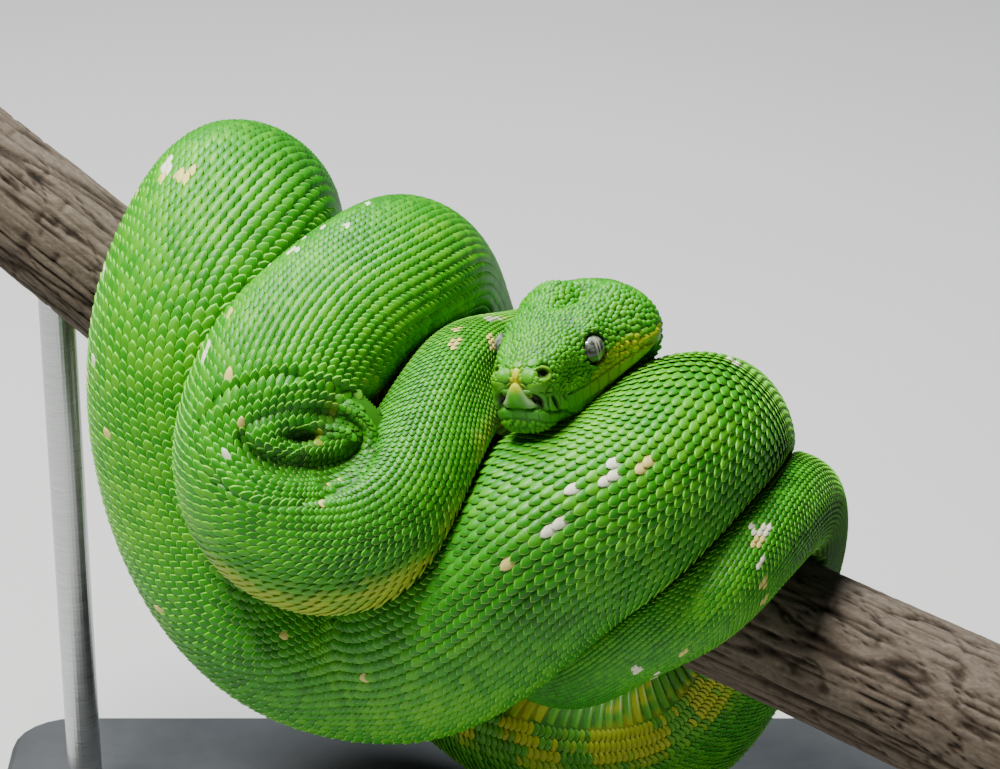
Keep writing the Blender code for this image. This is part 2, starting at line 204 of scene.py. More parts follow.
def make_floor():
    bm = bmesh.new()
    bmesh.ops.create_grid(bm, x_segments=8, y_segments=8, size=FLOOR_HALF)
    mesh = bpy.data.meshes.new("floor")
    bm.to_mesh(mesh)
    bm.free()
    floor = new_object("floor", mesh)
    look, tree, shader = new_material("pale_floor")
    shader.inputs["Roughness"].default_value = 0.8
    tree.links.new(ramp(tree, noise_at(tree, 3.0), FLOOR_TINTS), shader.inputs["Base Color"])
    mesh.materials.append(look)
    print("floor laid")


make_floor()

# %% [markdown]
# ## The snake's route
# The solids were swept along one curve from snout to tail tip. The same tables are given again
# here, in millimetres about the middle of the coils, so that the skin can be drawn far finer
# than the solids while it keeps exactly their course, thickness and twist.

# %% Tables of the route
SNOUT_TIP = np.array((3.0, -43.0, 18.0))
HEAD_BACKWARD = np.array((0.39, 0.92, 0.0))
HEAD_UP = (-0.13, 0.055, 0.99)
HEAD_LENGTH, MOUTH_LENGTH = 46.0, 34.0
# Back from the snout tip: half width, rise to the crown, drop to the chin, mouth line.
HEAD_PROFILE = (
    (0.0, 2.0, 1.8, 5.0, -3.2),
    (0.7, 4.4, 3.5, 7.8, -3.4),
    (2.0, 5.9, 4.9, 9.5, -4.3),
    (5.0, 7.3, 6.6, 10.4, -5.6),
    (9.0, 8.3, 7.9, 10.7, -6.4),
    (13.0, 9.2, 8.6, 10.8, -6.6),
    (17.0, 10.2, 9.3, 11.0, -6.4),
    (22.0, 11.8, 9.9, 11.4, -5.5),
    (28.0, 14.0, 10.0, 11.8, -4.3),
    (34.0, 15.9, 10.0, 11.8, -3.6),
    (39.0, 14.9, 9.6, 11.0, -3.4),
    (44.0, 12.0, 9.0, 9.6, -3.4),
    (50.0, 9.6, 8.8, 9.0, -3.4),
)
# The back of the head leans this far to its left.
HEAD_LEAN = 1.6
# Place of the middle line, radius, and where the spine points.
ROUTE = (
    # The neck turns back behind the head and comes forward again beside it.
    ((19.5, -3, 16), 8.3, (-0.1, 0, 1)),
    ((23, 8, 12), 8.6, (0, 0, 1)),
    ((19.5, 18, 5), 9.0, (0, 0, 1)),
    ((9, 19.5, 0), 9.3, (0, 0, 1)),
    ((1.5, 9, 2.5), 9.6, (0, 0, 1)),
    ((-2, -7, 8.5), 10, (0, 0, 1)),
    ((-8, -21, 12.3), 10.6, (0, -0.3, 1)),
    # The small front loop, and the crest that it rises to.
    ((-13.5, -33, 5.5), 12.5, (-0.2, -0.6, 1)),
    ((-19.5, -42, -5), 15.3, (0, -0.8, 1)),
    ((-34, -46.5, -11.5), 16.6, (0, -0.8, 1)),
    ((-47.5, -42, -3.5), 17.5, (-0.6, -0.5, 1)),
    ((-45, -31, 12.5), 18.0, (-0.6, -0.3, 1)),
    ((-35.5, -16, 18.5), 18.3, (-0.6, 0, 1)),
    ((-22.5, 6, 20.5), 18.1, (-0.3, 0, 1)),
    # Down behind the branch and up again on the right.
    ((-17, 28, 10), 17.6, (0, 1, 0.5)),
    ((-13, 42, -10), 18, (0, 1, 0)),
    ((-4, 50, -32), 18, (0, 1, 0)),
    ((14, 49, -45), 18, (0.2, 1, -0.3)),
    ((33, 37, -43), 18, (0.6, 0.8, -0.2)),
    ((43, 20, -30), 18, (0.7, 0.7, 0.2)),
    ((44.5, 3, -15), 18.1, (0.5, 0.4, 0.7)),
    ((43, -12, -8), 18.4, (0.1, 0, 1)),
    # The large front loop, the thickest of the body.
    ((37, -26, -2), 19.6, (0, -0.6, 1)),
    ((26, -36, -7), 21, (0, -0.8, 0.8)),
    ((11.5, -40.5, -13.5), 22, (0, -0.8, 0.7)),
    ((-9, -37, -34), 22.3, (0, -0.8, 0.6)),
    ((-22, -29, -44.5), 22.2, (0, -0.8, 0.5)),
    ((-42, -23, -43.5), 21.8, (-0.5, -0.8, 0.2)),
    ((-55, -18, -31), 21.6, (-0.8, -0.6, 0)),
    ((-63, -11, -8), 21.6, (-1, -0.3, 0.2)),
    ((-63, -1, 14), 21.7, (-1, 0, 0.6)),
    ((-57, 19, 26.5), 21.7, (-0.6, 0, 1)),
    # The long loop behind, which hangs below the branch.
    ((-55, 42, 20), 20.6, (0, 0.6, 0.8)),
    ((-54, 60, 0), 20, (0, 1, 0)),
    ((-50, 66, -30), 19.5, (0, 1, 0)),
    ((-35, 62, -62), 19.2, (0, 1, -0.3)),
    ((-10, 42, -90), 18.5, (0, 1, -0.8)),
    ((18, 20, -99), 17.5, (0, 0.3, -1)),
    ((40, 13, -90), 16, (0.3, 0.3, -1)),
    ((55, 11, -66), 14, (0.9, 0.3, -0.4)),
    ((62, 2, -40), 12.6, (1, 0.2, 0.2)),
    # The narrow last loop in front, then the tail round the branch.
    ((59.5, -17, -19), 11.8, (0.7, -0.1, 0.8)),
    ((51, -35, -18), 11.4, (0.5, -0.6, 0.7)),
    ((40.5, -43.5, -26.5), 11.2, (0.5, -0.9, 0.2)),
    ((28, -38.5, -37.8), 10.2, (0.4, -0.9, -0.2)),
    ((13, -21, -56), 9.4, (0.1, -0.7, -0.7)),
    ((-3, -3, -57), 8.2, (0, 0, -1)),
    ((-17, 13, -51), 7, (0, 1, -0.3)),
    ((-26, 27, -38), 6, (0, 1, 0.3)),
    ((-32, 36, -20), 5, (0, 1, 0.3)),
    ((-35, 31, -5), 4, (0, 0.3, 1)),
    ((-34, 17, -1), 3.2, (0, 0, 1)),
    ((-30, 3, -6), 2.4, (0, -0.3, 1)),
    ((-26, -7, -13), 1.3, (0, -0.3, 1)),
)
SPINE_RISE, BELLY_DROP = 1.02, 0.9
SPINE_CURVE, HEAD_CURVE, BELLY_CURVE, JAW_CURVE = 1.86, 2.25, 2.3, 3.4
COIL_GAP, BRANCH_GAP, HEAD_CLEAR, BEND_SHARE = 0.7, 1.0, 0.1, 0.86
SAMPLE_STEP = 2.0
BRANCH = (
    ((-128, 56, 38), 13.2),
    ((-92, 38, 15), 13.4),
    ((-58, 26, -9), 13.6),
    ((0, 2, -31), 15.0),
    ((46, -18, -42), 15.7),
    ((99, -40, -58), 16.3),
    ((128, -52, -67), 16.6),
)
BARK_RELIEF = 0.35
SAMPLES_PER_SPAN = 12
print(len(ROUTE), "rows of body,", len(BRANCH), "of branch")


# %% Curves through the tables
def catmull_rom(rows):
    """A smooth curve through the rows; its first three columns are places."""
    rows = np.asarray(rows, float)
    ends = (2 * rows[:1] - rows[1:2], 2 * rows[-1:] - rows[-2:-1])
    rows = np.concatenate((ends[0], rows, ends[1]))
    out = []
    for p0, p1, p2, p3 in zip(rows, rows[1:], rows[2:], rows[3:]):
        knots = [0.0]
        for a, b in ((p0, p1), (p1, p2), (p2, p3)):
            knots.append(knots[-1] + math.sqrt(np.linalg.norm((b - a)[:3])) + 1e-9)
        t0, t1, t2, t3 = knots
        for t in np.linspace(t1, t2, SAMPLES_PER_SPAN, endpoint=False):
            a1 = (p0 * (t1 - t) + p1 * (t - t0)) / (t1 - t0)
            a2 = (p1 * (t2 - t) + p2 * (t - t1)) / (t2 - t1)
            a3 = (p2 * (t3 - t) + p3 * (t - t2)) / (t3 - t2)
            b1 = (a1 * (t2 - t) + a2 * (t - t0)) / (t2 - t0)
            b2 = (a2 * (t3 - t) + a3 * (t - t1)) / (t3 - t1)
            out.append((b1 * (t2 - t) + b2 * (t - t1)) / (t2 - t1))
    out.append(rows[-2])
    return np.array(out)


def running(steps):
    """The steps added up one by one, from nought."""
    return np.concatenate(((0.0,), np.cumsum(steps)))


def full_turn(count):
    """This many angles, evenly round."""
    return np.arange(count) * 2 * math.pi / count


def evenly_spaced(samples, step):
    """The curve's samples, spaced evenly, and how far along it each lies."""
    along = running(np.linalg.norm(np.diff(samples[:, :3], axis=0), axis=1))
    places = np.linspace(0, along[-1], max(2, round(along[-1] / step) + 1))
    columns = [np.interp(places, along, column) for column in samples.T]
    return np.stack(columns, axis=1), places


def unit(vectors):
    return vectors / np.maximum(np.linalg.norm(vectors, axis=-1, keepdims=True), 1e-12)


def relaxed(values, passes):
    values = values.copy()
    for _ in range(passes):
        values[1:-1] = (values[:-2] + 2 * values[1:-1] + values[2:]) / 4
    return values


def across(vectors, tangents):
    """The vectors with what lies along the tangents taken out, at unit length."""
    return unit(vectors - (vectors * tangents).sum(axis=-1, keepdims=True) * tangents)


def smooth_step(t):
    t = np.clip(t, 0, 1)
    return t * t * (3 - 2 * t)


def softer_of(first, second, softness=0.5):
    """The smaller of two lengths, with the corner where they cross rounded off inwards."""
    gap = np.minimum(np.abs(first - second) / softness, 50)
    return np.minimum(first, second) - softness * np.log1p(np.exp(-gap))


def strip(first, second):
    """Faces between two closed rows of vertex numbers of the same length."""
    count = len(first)
    return [
        (first[k], first[(k + 1) % count], second[(k + 1) % count], second[k])
        for k in range(count)
    ]


def tube(rows, count, start=0):
    """Rows of vertex numbers along a tube, and the faces between them."""
    rings = [[start + i * count + j for j in range(count)] for i in range(rows)]
    faces = []
    for first, second in zip(rings, rings[1:]):
        faces += strip(first, second)
    return rings, faces


def head_curves():
    """The head's profile table, drawn as smooth curves."""
    table = np.array(HEAD_PROFILE)
    return catmull_rom(np.c_[table[:, 0], np.zeros((len(table), 2)), table[:, 1:]])


PROFILE = head_curves()


def profile_at(back):
    """Half width, crown, chin and mouth line, this far back from the snout tip."""
    return np.array([np.interp(back, PROFILE[:, 0], column) for column in PROFILE.T[3:]])


def mouth_height(back):
    return np.interp(back, PROFILE[:, 0], PROFILE[:, 6])


def lean_at(back):
    """How far the head's middle stands to its left, this far back."""
    return HEAD_LEAN * smooth_step((back - 14) / 14) * (1 - smooth_step((back - 36) / 14))


# %% [markdown]
# ## The surface under the coat
# The body's section is a low oval, rounder above than below. Where coils press on each other
# each is flattened along the plane between them, and the skin must be too. One way would be to
# carve the skin with Booleans. Here each ray from the middle line simply stops at whichever
# comes first: the free oval, the inside of the bend, the next coil, or the branch.

# %% The sweep
# The skin lies this far inside the solids, and the scales fill the depth.
COAT_DEPTH = 0.5


class Snake:
    """The body's middle line from snout to tail tip, its frame, and its surface."""

    def __init__(self):
        back = unit(HEAD_BACKWARD)
        rows = [(*(SNOUT_TIP + back * a), 12.0, *HEAD_UP) for a in (0.0, 10.0, 20.0, 30.0, 38.0)]
        rows += [(*place, radius, *spine) for place, radius, spine in ROUTE]
        samples, _ = evenly_spaced(catmull_rom(rows), SAMPLE_STEP)
        samples, self.along = evenly_spaced(relaxed(samples, 12), SAMPLE_STEP)
        self.centre = samples[:, :3]
        self.radius = samples[:, 3]
        self.length = self.along[-1]
        tangent = unit(np.gradient(self.centre, axis=0))
        spine = across(samples[:, 4:7], tangent)
        for _ in range(10):
            spine = across(relaxed(spine, 1), tangent)
        rigid = 1 - smooth_step((self.along - MOUTH_LENGTH - 2) / 12)[:, None]
        self.tangent = unit(tangent * (1 - rigid) + back * rigid)
        self.spine = across(spine * (1 - rigid) + np.array(HEAD_UP) * rigid, self.tangent)
        left = np.cross(self.tangent, self.spine)
        self.centre = self.centre + left * lean_at(self.along)[:, None]
        self.curvature = np.gradient(self.tangent, self.along, axis=0)
        self.branch, _ = evenly_spaced(catmull_rom([(*p, r) for p, r in BRANCH]), 3.0)

    def at(self, values, place):
        return np.array([np.interp(place, self.along, column) for column in values.T])

    def radius_at(self, place):
        return np.interp(place, self.along, self.radius)

    def free_reach(self, place, angles):
        """How far the free surface stands from the middle line, at angles from the spine."""
        radius = self.radius_at(place)
        head = 1 - smooth_step((place - HEAD_LENGTH + 6) / 12)
        profile = profile_at(min(place, HEAD_PROFILE[-1][0]))
        side = radius * (1 - head) + profile[0] * head
        up = SPINE_RISE * radius * (1 - head) + profile[1] * head
        down = BELLY_DROP * radius * (1 - head) + profile[2] * head
        cosine, sine = np.cos(angles), np.sin(angles)
        height = np.where(cosine > 0, up, down)
        upper = SPINE_CURVE * (1 - head) + HEAD_CURVE * head
        lower = BELLY_CURVE * (1 - head) + JAW_CURVE * head
        power = np.where(cosine > 0, upper, lower)
        return (np.abs(cosine / height) ** power + np.abs(sine / side) ** power) ** (-1 / power)

    def ring(self, place, angles):
        """One closed ring of the surface, drawn in by the depth of the coat."""
        centre = self.at(self.centre, place)
        tangent = unit(self.at(self.tangent, place))
        spine = across(self.at(self.spine, place), tangent)
        side = np.cross(tangent, spine)
        rays = np.cos(angles)[:, None] * spine + np.sin(angles)[:, None] * side
        reach = self.free_reach(place, angles)
        inward = rays @ self.at(self.curvature, place)
        bend = np.where(inward > 1e-4, BEND_SHARE / np.maximum(inward, 1e-4), 1e9)
        reach = softer_of(reach, bend)
        reach = softer_of(reach, self.coil_limit(place, centre, rays))
        reach = softer_of(reach, self.branch_limit(centre, rays), 0.3)
        reach = np.maximum(reach - min(COAT_DEPTH, 0.25 * self.radius_at(place)), 0.3)
        return centre + rays * reach[:, None]

    def coil_limit(self, place, centre, rays):
        """How far each ray runs before the plane between this coil and another."""
        radius = self.radius_at(place)
        to_other = self.centre - centre
        apart = (to_other**2).sum(axis=1)
        other = np.abs(self.along - place) > 0.6 * (radius + self.radius)
        other &= apart < (1.4 * (radius + self.radius) + 4) ** 2
        if not other.any():
            return np.full(len(rays), 1e9)
        closing = 2 * rays @ to_other[other].T
        planes = apart[other] + radius**2 - self.radius[other] ** 2
        if place < HEAD_LENGTH:
            gap = np.sqrt(apart[other]) - self.radius[other] - HEAD_CLEAR
            planes = np.maximum(planes, 2 * gap * np.sqrt(apart[other]))
        limits = np.where(closing > 1e-6, planes / np.maximum(closing, 1e-6), 1e9)
        return limits.min(axis=1) - COIL_GAP / 2

    def branch_limit(self, centre, rays):
        """How far each ray runs before it meets the branch."""
        to_branch = self.branch[:, :3] - centre
        clear = self.branch[:, 3] + BARK_RELIEF + BRANCH_GAP
        closing = rays @ to_branch.T
        inside = closing**2 - (to_branch**2).sum(axis=1) + clear**2
        hits = (inside > 0) & (closing > 0)
        limits = np.where(hits, closing - np.sqrt(np.maximum(inside, 0)), 1e9)
        return np.maximum(limits.min(axis=1), 1.0)


snake = Snake()
print(f"the snake is {snake.length:.0f} mm long")

# %% [markdown]
# ## Folds where the body doubles back
# In the tight front loop the skin on the inside has nowhere to go. It rolls into folds that
# ring a small deep pit. A patch of skin of its own shows them further on. Here the body is only
# pressed in softly under the place of that patch, to leave room for it.

# %% The pinch and its folds
PINCH = np.array((-38.6, -50.2, 12.1))
FOLD_WIDE, FOLD_TALL, FOLD_FOCUS = 20.0, 14.0, 9.6
# The fold faces forwards and 25 degrees up. Its axes run to the right, up its face, and out.
FOLD_AXES = np.array(((1.0, 0.0, 0.0), (0.0, 0.4226, 0.9063), (0.0, -0.9063, 0.4226)))
# Where the fold shows, and how far under it a scale of the body can lie and still be its own.
FOLD_SHOWS, FOLD_DEEP = 0.86, 4.2
# How much painted shade darkens the scales in its furrows.
FOLD_SHADE = 0.42


def fold_edge(x, y):
    """0 in the middle of the fold and 1 on its oval border."""
    return np.hypot((x + 3) / FOLD_WIDE, (y + 1) / FOLD_TALL)


def fold_depth(points):
    """How deep the body is pressed in under the fold, in millimetres."""
    x, y, z = np.moveaxis((points - PINCH) @ FOLD_AXES.T, -1, 0)
    shown = 1 - smooth_step((fold_edge(x, y) - 0.72) / 0.23)
    near = (1 - smooth_step((np.abs(z) - 12) / 6)) * shown
    return near * (2.4 + 1.3 * np.exp(-((np.hypot(x, 1.6 * y) / 4.5) ** 2)))


# %% A fine grid over the body, to place everything on
GRID_STEP, GRID_ANGLES = 1.0, 144
BODY_FROM = 36.0


def grid_normals(grid):
    lengthwise = np.gradient(grid, axis=0)
    crosswise = np.roll(grid, -1, axis=1) - np.roll(grid, 1, axis=1)
    return unit(np.cross(crosswise, lengthwise))


class BodyGrid:
    def __init__(self):
        angles = full_turn(GRID_ANGLES)
        self.places = np.arange(BODY_FROM, snake.length, GRID_STEP)
        grid = np.array([snake.ring(place, angles) for place in self.places])
        self.points = grid - grid_normals(grid) * fold_depth(grid)[..., None]
        self.normals = grid_normals(self.points)
        self.lengthwise = np.gradient(self.points, GRID_STEP, axis=0)
        crosswise = np.roll(self.points, -1, axis=1) - np.roll(self.points, 1, axis=1)
        self.crosswise = crosswise / (4 * math.pi / GRID_ANGLES)

    def read(self, values, place, angle):
        """One of the grid's arrays, read between its points."""
        row = np.clip((place - BODY_FROM) / GRID_STEP, 0, len(self.places) - 1.001)
        column = (angle / (2 * math.pi) * GRID_ANGLES) % GRID_ANGLES
        i, j = row.astype(int), column.astype(int) % GRID_ANGLES
        f, g = (row - i)[..., None], (column - np.floor(column))[..., None]
        j1 = (j + 1) % GRID_ANGLES
        near = values[i, j] * (1 - g) + values[i, j1] * g
        return near * (1 - f) + (values[i + 1, j] * (1 - g) + values[i + 1, j1] * g) * f


def body_surface():
    _, faces = tube(len(body.points), GRID_ANGLES)
    return bvhtree.BVHTree.FromPolygons(body.points.reshape(-1, 3).tolist(), faces)


body = BodyGrid()
BODY_SURFACE = body_surface()
print("body grid", body.points.shape[:2])

# %% [markdown]
# ## The head's own shape
# The solids give the head's outline: a blunt muzzle, wide jaws and a flat crown. The real head
# has two swellings of jaw muscle behind the eyes with a furrow between them, a brow over each
# eye, a hollow cheek before it, swollen nostrils, and a lip line. Each is one soft bump or
# dent at a named place, added along the surface's own outward direction.

# %% Places in the head
BACKWARD = unit(HEAD_BACKWARD)
UPWARD = across(np.array(HEAD_UP), BACKWARD)
LEFTWARD = np.cross(UPWARD, -BACKWARD)
HEAD_AXES = np.stack((BACKWARD, LEFTWARD, UPWARD))
EYE_RADIUS = 3.1
EYE_AT = np.array((18.3, 8.8, 2.3))
NOSTRIL_AT = np.array((3.2, 5.7, 3.6))
NASAL_AT = np.array((1.6, 4.6, 2.9))


def to_head(points):
    """Back from the snout tip, towards the head's left, and above its axis."""
    return (points - SNOUT_TIP) @ HEAD_AXES.T


def from_head(places):
    return SNOUT_TIP + np.asarray(places) @ HEAD_AXES


def hump(distance, width, sharpness=2):
    return np.exp(-np.abs(distance / width) ** sharpness)


def away_from(spot, places):
    """How far places in the head are from a spot on its left, or from the same on its right."""
    back, aside, rise = np.moveaxis(places, -1, 0)
    return np.linalg.norm(np.stack((back, np.abs(aside), rise), axis=-1) - spot, axis=-1)


def head_relief(places):
    """How far the head's own shape stands out from, or sinks into, the swept surface."""
    back, aside, rise = np.moveaxis(places, -1, 0)
    side = np.abs(aside)
    above = smooth_step((rise - 1) / 3)
    crease = aside - 1.6 * smooth_step((back - 18) / 12)
    furrow = 3.3 * hump(crease, 2.6) * smooth_step((back - 19) / 10) * above
    furrow *= 1 - smooth_step((back - 44) / 10)
    lobes = 1.2 * hump(np.abs(crease) - 7.0, 4.2) * hump(back - 33, 8.5) * above
    brow = 0.9 * hump(side - 8.6, 2.2) * hump(back - 19, 4.0, 3) * smooth_step((rise - 4.0) / 2)
    cheek = 0.8 * hump(back - 10.0, 3.6) * hump(rise - 0.8, 2.2) * smooth_step((side - 3) / 2)
    canthus = 0.35 * hump(back - 9, 5, 3) * hump(rise - 5.2, 1.4) * smooth_step((side - 4) / 2)
    nasal = 0.75 * hump(away_from(NASAL_AT, places), 1.9, 3)
    nostril = 1.9 * hump(away_from(NOSTRIL_AT, places), 0.85, 4)
    from_eye = away_from(EYE_AT, places)
    socket = 1.6 * hump(from_eye, EYE_RADIUS + 0.1, 10)
    lid = 0.4 * hump(from_eye - EYE_RADIUS - 0.5, 0.6)
    mouth = mouth_height(back)
    shut = 1 - smooth_step((back - MOUTH_LENGTH + 1) / 3)
    gape = 0.9 * hump(rise - mouth, 0.36) * shut
    muscle = 0.5 * hump(back - 30, 6) * hump(rise + 1, 3.5) * smooth_step((side - 8) / 4)
    out = lobes + brow + canthus + nasal + lid + muscle
    return out - furrow - cheek - nostril - socket - gape


# %% The head's grid of points
HEAD_ANGLES = 288
HEAD_STEP = 0.32
SNOUT_RINGS = 7
JAW_SAG = 3.0


def head_rings():
    """Rings of the head, closer together where the muzzle turns in, with a domed tip."""
    fine = np.linspace(0, BODY_FROM + 6, 2000)
    widths = np.array([profile_at(back)[0] for back in fine])
    run = running(np.hypot(np.diff(fine), np.diff(widths)))
    count = round(run[-1] / HEAD_STEP)
    backs = np.interp(np.linspace(0, run[-1], count), run, fine)
    angles = full_turn(HEAD_ANGLES)
    rings = [snake.ring(back, angles) for back in backs]
    tip = rings[0]
    middle = (tip.max(axis=0) + tip.min(axis=0)) / 2
    caps = []
    for part in np.linspace(0, 1, SNOUT_RINGS, endpoint=False)[1:]:
        caps.append(middle + (tip - middle) * part - BACKWARD * 0.45 * (1 - part**2))
    rings = np.array(caps + rings)
    setback = 0.45 * np.maximum(1 - (to_head(rings)[..., 0]) / 3, 0)
    return rings + BACKWARD * setback[..., None]


def shaped_head():
    rings = head_rings()
    relief = head_relief(to_head(rings))
    relief[: SNOUT_RINGS - 1] *= 0.6
    fade = 1 - smooth_step((to_head(rings)[..., 0] - BODY_FROM + 2) / 6)
    return rings + grid_normals(rings) * (relief * fade)[..., None]


def settled_on_coil(points):
    """Lets the jaw sag on to the coil under it wherever the coil is only a little way off."""
    flat = points.reshape(-1, 3).copy()
    places = to_head(flat)
    sag = smooth_step((-3.0 - places[:, 2]) / 3.5) * smooth_step((places[:, 0] - 6) / 6)
    sag *= 1 - smooth_step((places[:, 0] - 36) / 5)
    for index in np.flatnonzero(sag > 0.01):
        hit, _, _, away = BODY_SURFACE.ray_cast(Vector(flat[index]), Vector(-UPWARD), JAW_SAG + 1)
        if hit is not None:
            flat[index] -= UPWARD * sag[index] * min(max(away - 0.1, 0), JAW_SAG)
    return flat.reshape(points.shape)


head_points = settled_on_coil(shaped_head())
print("head grid", head_points.shape[:2])

# %% [markdown]
# ## The markings
# The snake is leaf green above, yellower low on the flanks, and ochre yellow under the belly.
# White and yellow flecks, each a scale or two across, run loosely along the back. Skin and
# scales must agree, so both ask the same function, and store its answer as plain attributes:
# how yellow, how pale, and how dark each point is, where the dark one is painted shade in
# creases, pits and holes. One material turns these into colour.

# %% Flecks and the belly
# First and last row of the route that a run covers, how many groups, and the share that is yellow.
FLECK_RUNS = (
    (5, 7, 4, 0.9), (8, 11, 6, 0.6), (11, 13, 6, 0.5), (14, 20, 4, 0.4), (21, 24, 6, 0.3),
    (24, 28, 6, 0.8), (28, 31, 7, 0.5), (32, 40, 7, 0.4), (41, 45, 5, 0.2), (46, 49, 2, 0.2),
)
FLECK_SEED = 11
# A group strays this many degrees from the spine, and its flecks lie this many millimetres apart.
FLECK_STRAY, FLECK_APART = 15.0, 2.6
BELLY_HALF = math.radians(36)
# The flanks turn yellow this many degrees from the spine. They do so nearer to it on the small
# front loop, and further from it on the turn behind the branch. Each of the two is given as its
# place along the snake and its half length.
YELLOW_FROM, YELLOW_NEARER, YELLOW_FURTHER = 98, 44, 26
FRONT_LOOP, REAR_TURN = (165, 48), (295, 95)


def turned(angle):
    """An angle as -180 to 180 degrees from the spine."""
    return (angle + math.pi) % (2 * math.pi) - math.pi


def row_place(row):
    """How far along the snake a row of the route lies."""
    return snake.along[np.linalg.norm(snake.centre - ROUTE[row][0], axis=1).argmin()]


def scattered_flecks():
    """Groups of one to three flecks: place, turn from the spine, radius, how yellow, how pale."""
    rng = np.random.default_rng(FLECK_SEED)
    flecks = []
    for first, last, groups, yellows in FLECK_RUNS:
        ends = row_place(first), row_place(last)
        for along, stray in zip(rng.uniform(*ends, groups), rng.normal(0, FLECK_STRAY, groups)):
            marks = (0.9, 0.25) if rng.random() < yellows else (0.15, 0.9)
            for _ in range(rng.integers(1, 4)):
                place = along + FLECK_APART * rng.normal()
                turn = math.radians(stray) + FLECK_APART * rng.normal() / snake.radius_at(place)
                flecks.append((place, turn, rng.uniform(0.8, 1.3), *marks))
    return flecks


FLECKS = scattered_flecks()


def mottled(points, scale, seed):
    """Slow noise between 0 and 1 over places in millimetres."""
    shift = Vector((seed * 17.3, seed * 5.1, 0))
    flat = points.reshape(-1, 3)
    read = [noise.noise(Vector(point) / scale + shift) for point in flat]
    return 0.5 + 0.5 * np.array(read).reshape(points.shape[:-1])


def body_marks(place, angle, points):
    """How yellow and how pale the body is at these places."""
    round_from_spine = np.abs(turned(angle))
    patches = mottled(points, 9.0, 3) + 0.6 * (mottled(points, 1.7, 5) - 0.5)
    front, rear = (hump(place - middle, reach, 4) for middle, reach in (FRONT_LOOP, REAR_TURN))
    start = YELLOW_FROM - YELLOW_NEARER * front + YELLOW_FURTHER * rear
    low_flank = smooth_step((np.degrees(round_from_spine) - start + 26 * (patches - 0.5)) / 30)
    patchy = smooth_step((patches - 0.44) / 0.14)
    yellow = low_flank * (0.16 + 0.56 * (patchy + 0.75 * front * (0.7 - patchy)))
    pale = 0.03 * low_flank
    radius = snake.radius_at(place)
    for along, turn, size, how_yellow, how_pale in FLECKS:
        around = turned(angle - turn) * radius
        hit = (place - along) ** 2 + around**2 < size**2
        yellow = np.where(hit, how_yellow, yellow)
        pale = np.where(hit, how_pale, pale)
    return yellow, pale


def head_marks(places):
    """How yellow and pale the head is at these places, and how much painted shade darkens it."""
    back, aside, rise = np.moveaxis(places, -1, 0)
    mouth = mouth_height(back)
    shut = 1 - smooth_step((back - MOUTH_LENGTH + 1) / 4)
    lip_top = mouth + 3.6 + 4.4 * smooth_step((back - 14) / 6) - 2.2 * smooth_step((back - 24) / 8)
    lip = smooth_step((lip_top - rise) / 1.6) * smooth_step((rise - mouth + 1.4) / 1.0)
    lip *= 1 - smooth_step((back - 33) / 5)
    lip *= 0.35 + 0.65 * smooth_step((back - 11) / 5)
    ridge = hump(aside, 1.1) * hump(back - 0.8, 1.4) * smooth_step((rise - 0.6) / 1.4)
    under = smooth_step((-7.6 - rise) / 1.4)
    snout = 1 - smooth_step((back - 8) / 9)
    yellow = np.clip(0.66 * lip + 0.9 * ridge + 0.15 * under + 0.10 * snout, 0, 1)
    pale = 0.04 * under
    # Painted shade: in the mouth crease, in the nostrils, and in the socket round each eye.
    dark = 0.95 * hump(rise - mouth, 0.5) * shut
    dark = np.maximum(dark, hump(away_from(NOSTRIL_AT, places), 0.9, 4))
    dark = np.maximum(dark, 0.9 * hump(away_from(EYE_AT, places), EYE_RADIUS + 0.35, 12))
    return yellow, pale, dark


print(len(FLECKS), "flecks")

# %% [markdown]
# ## One material for skin and scales
# Living scales are glossy but not wet: a rough sheen with a clear coat over it. Slow noise in
# the object's own space shifts the green from deep to yellowish over several centimetres, a
# random tone sets each scale apart from its neighbours, and each free edge is paler because
# the horn is thin there. A dark attribute mixes in painted shade: in the gaps between scales,
# in creases, pits and holes, and in the furrows of the fold.

# %% The scaly material
DEEP_GREEN = (0.0, 0.055, 0.0)
LEAF_GREEN = (0.022, 0.27, 0.0)
BRIGHT_GREEN = (0.15, 0.50, 0.0)
PALE_EDGE = (0.30, 0.80, 0.05)
IVORY = (0.80, 0.76, 0.62)
# The colour of painted shade in gaps, creases, pits and holes.
PAINTED_SHADE_COLOUR = (0.016, 0.016, 0.005)


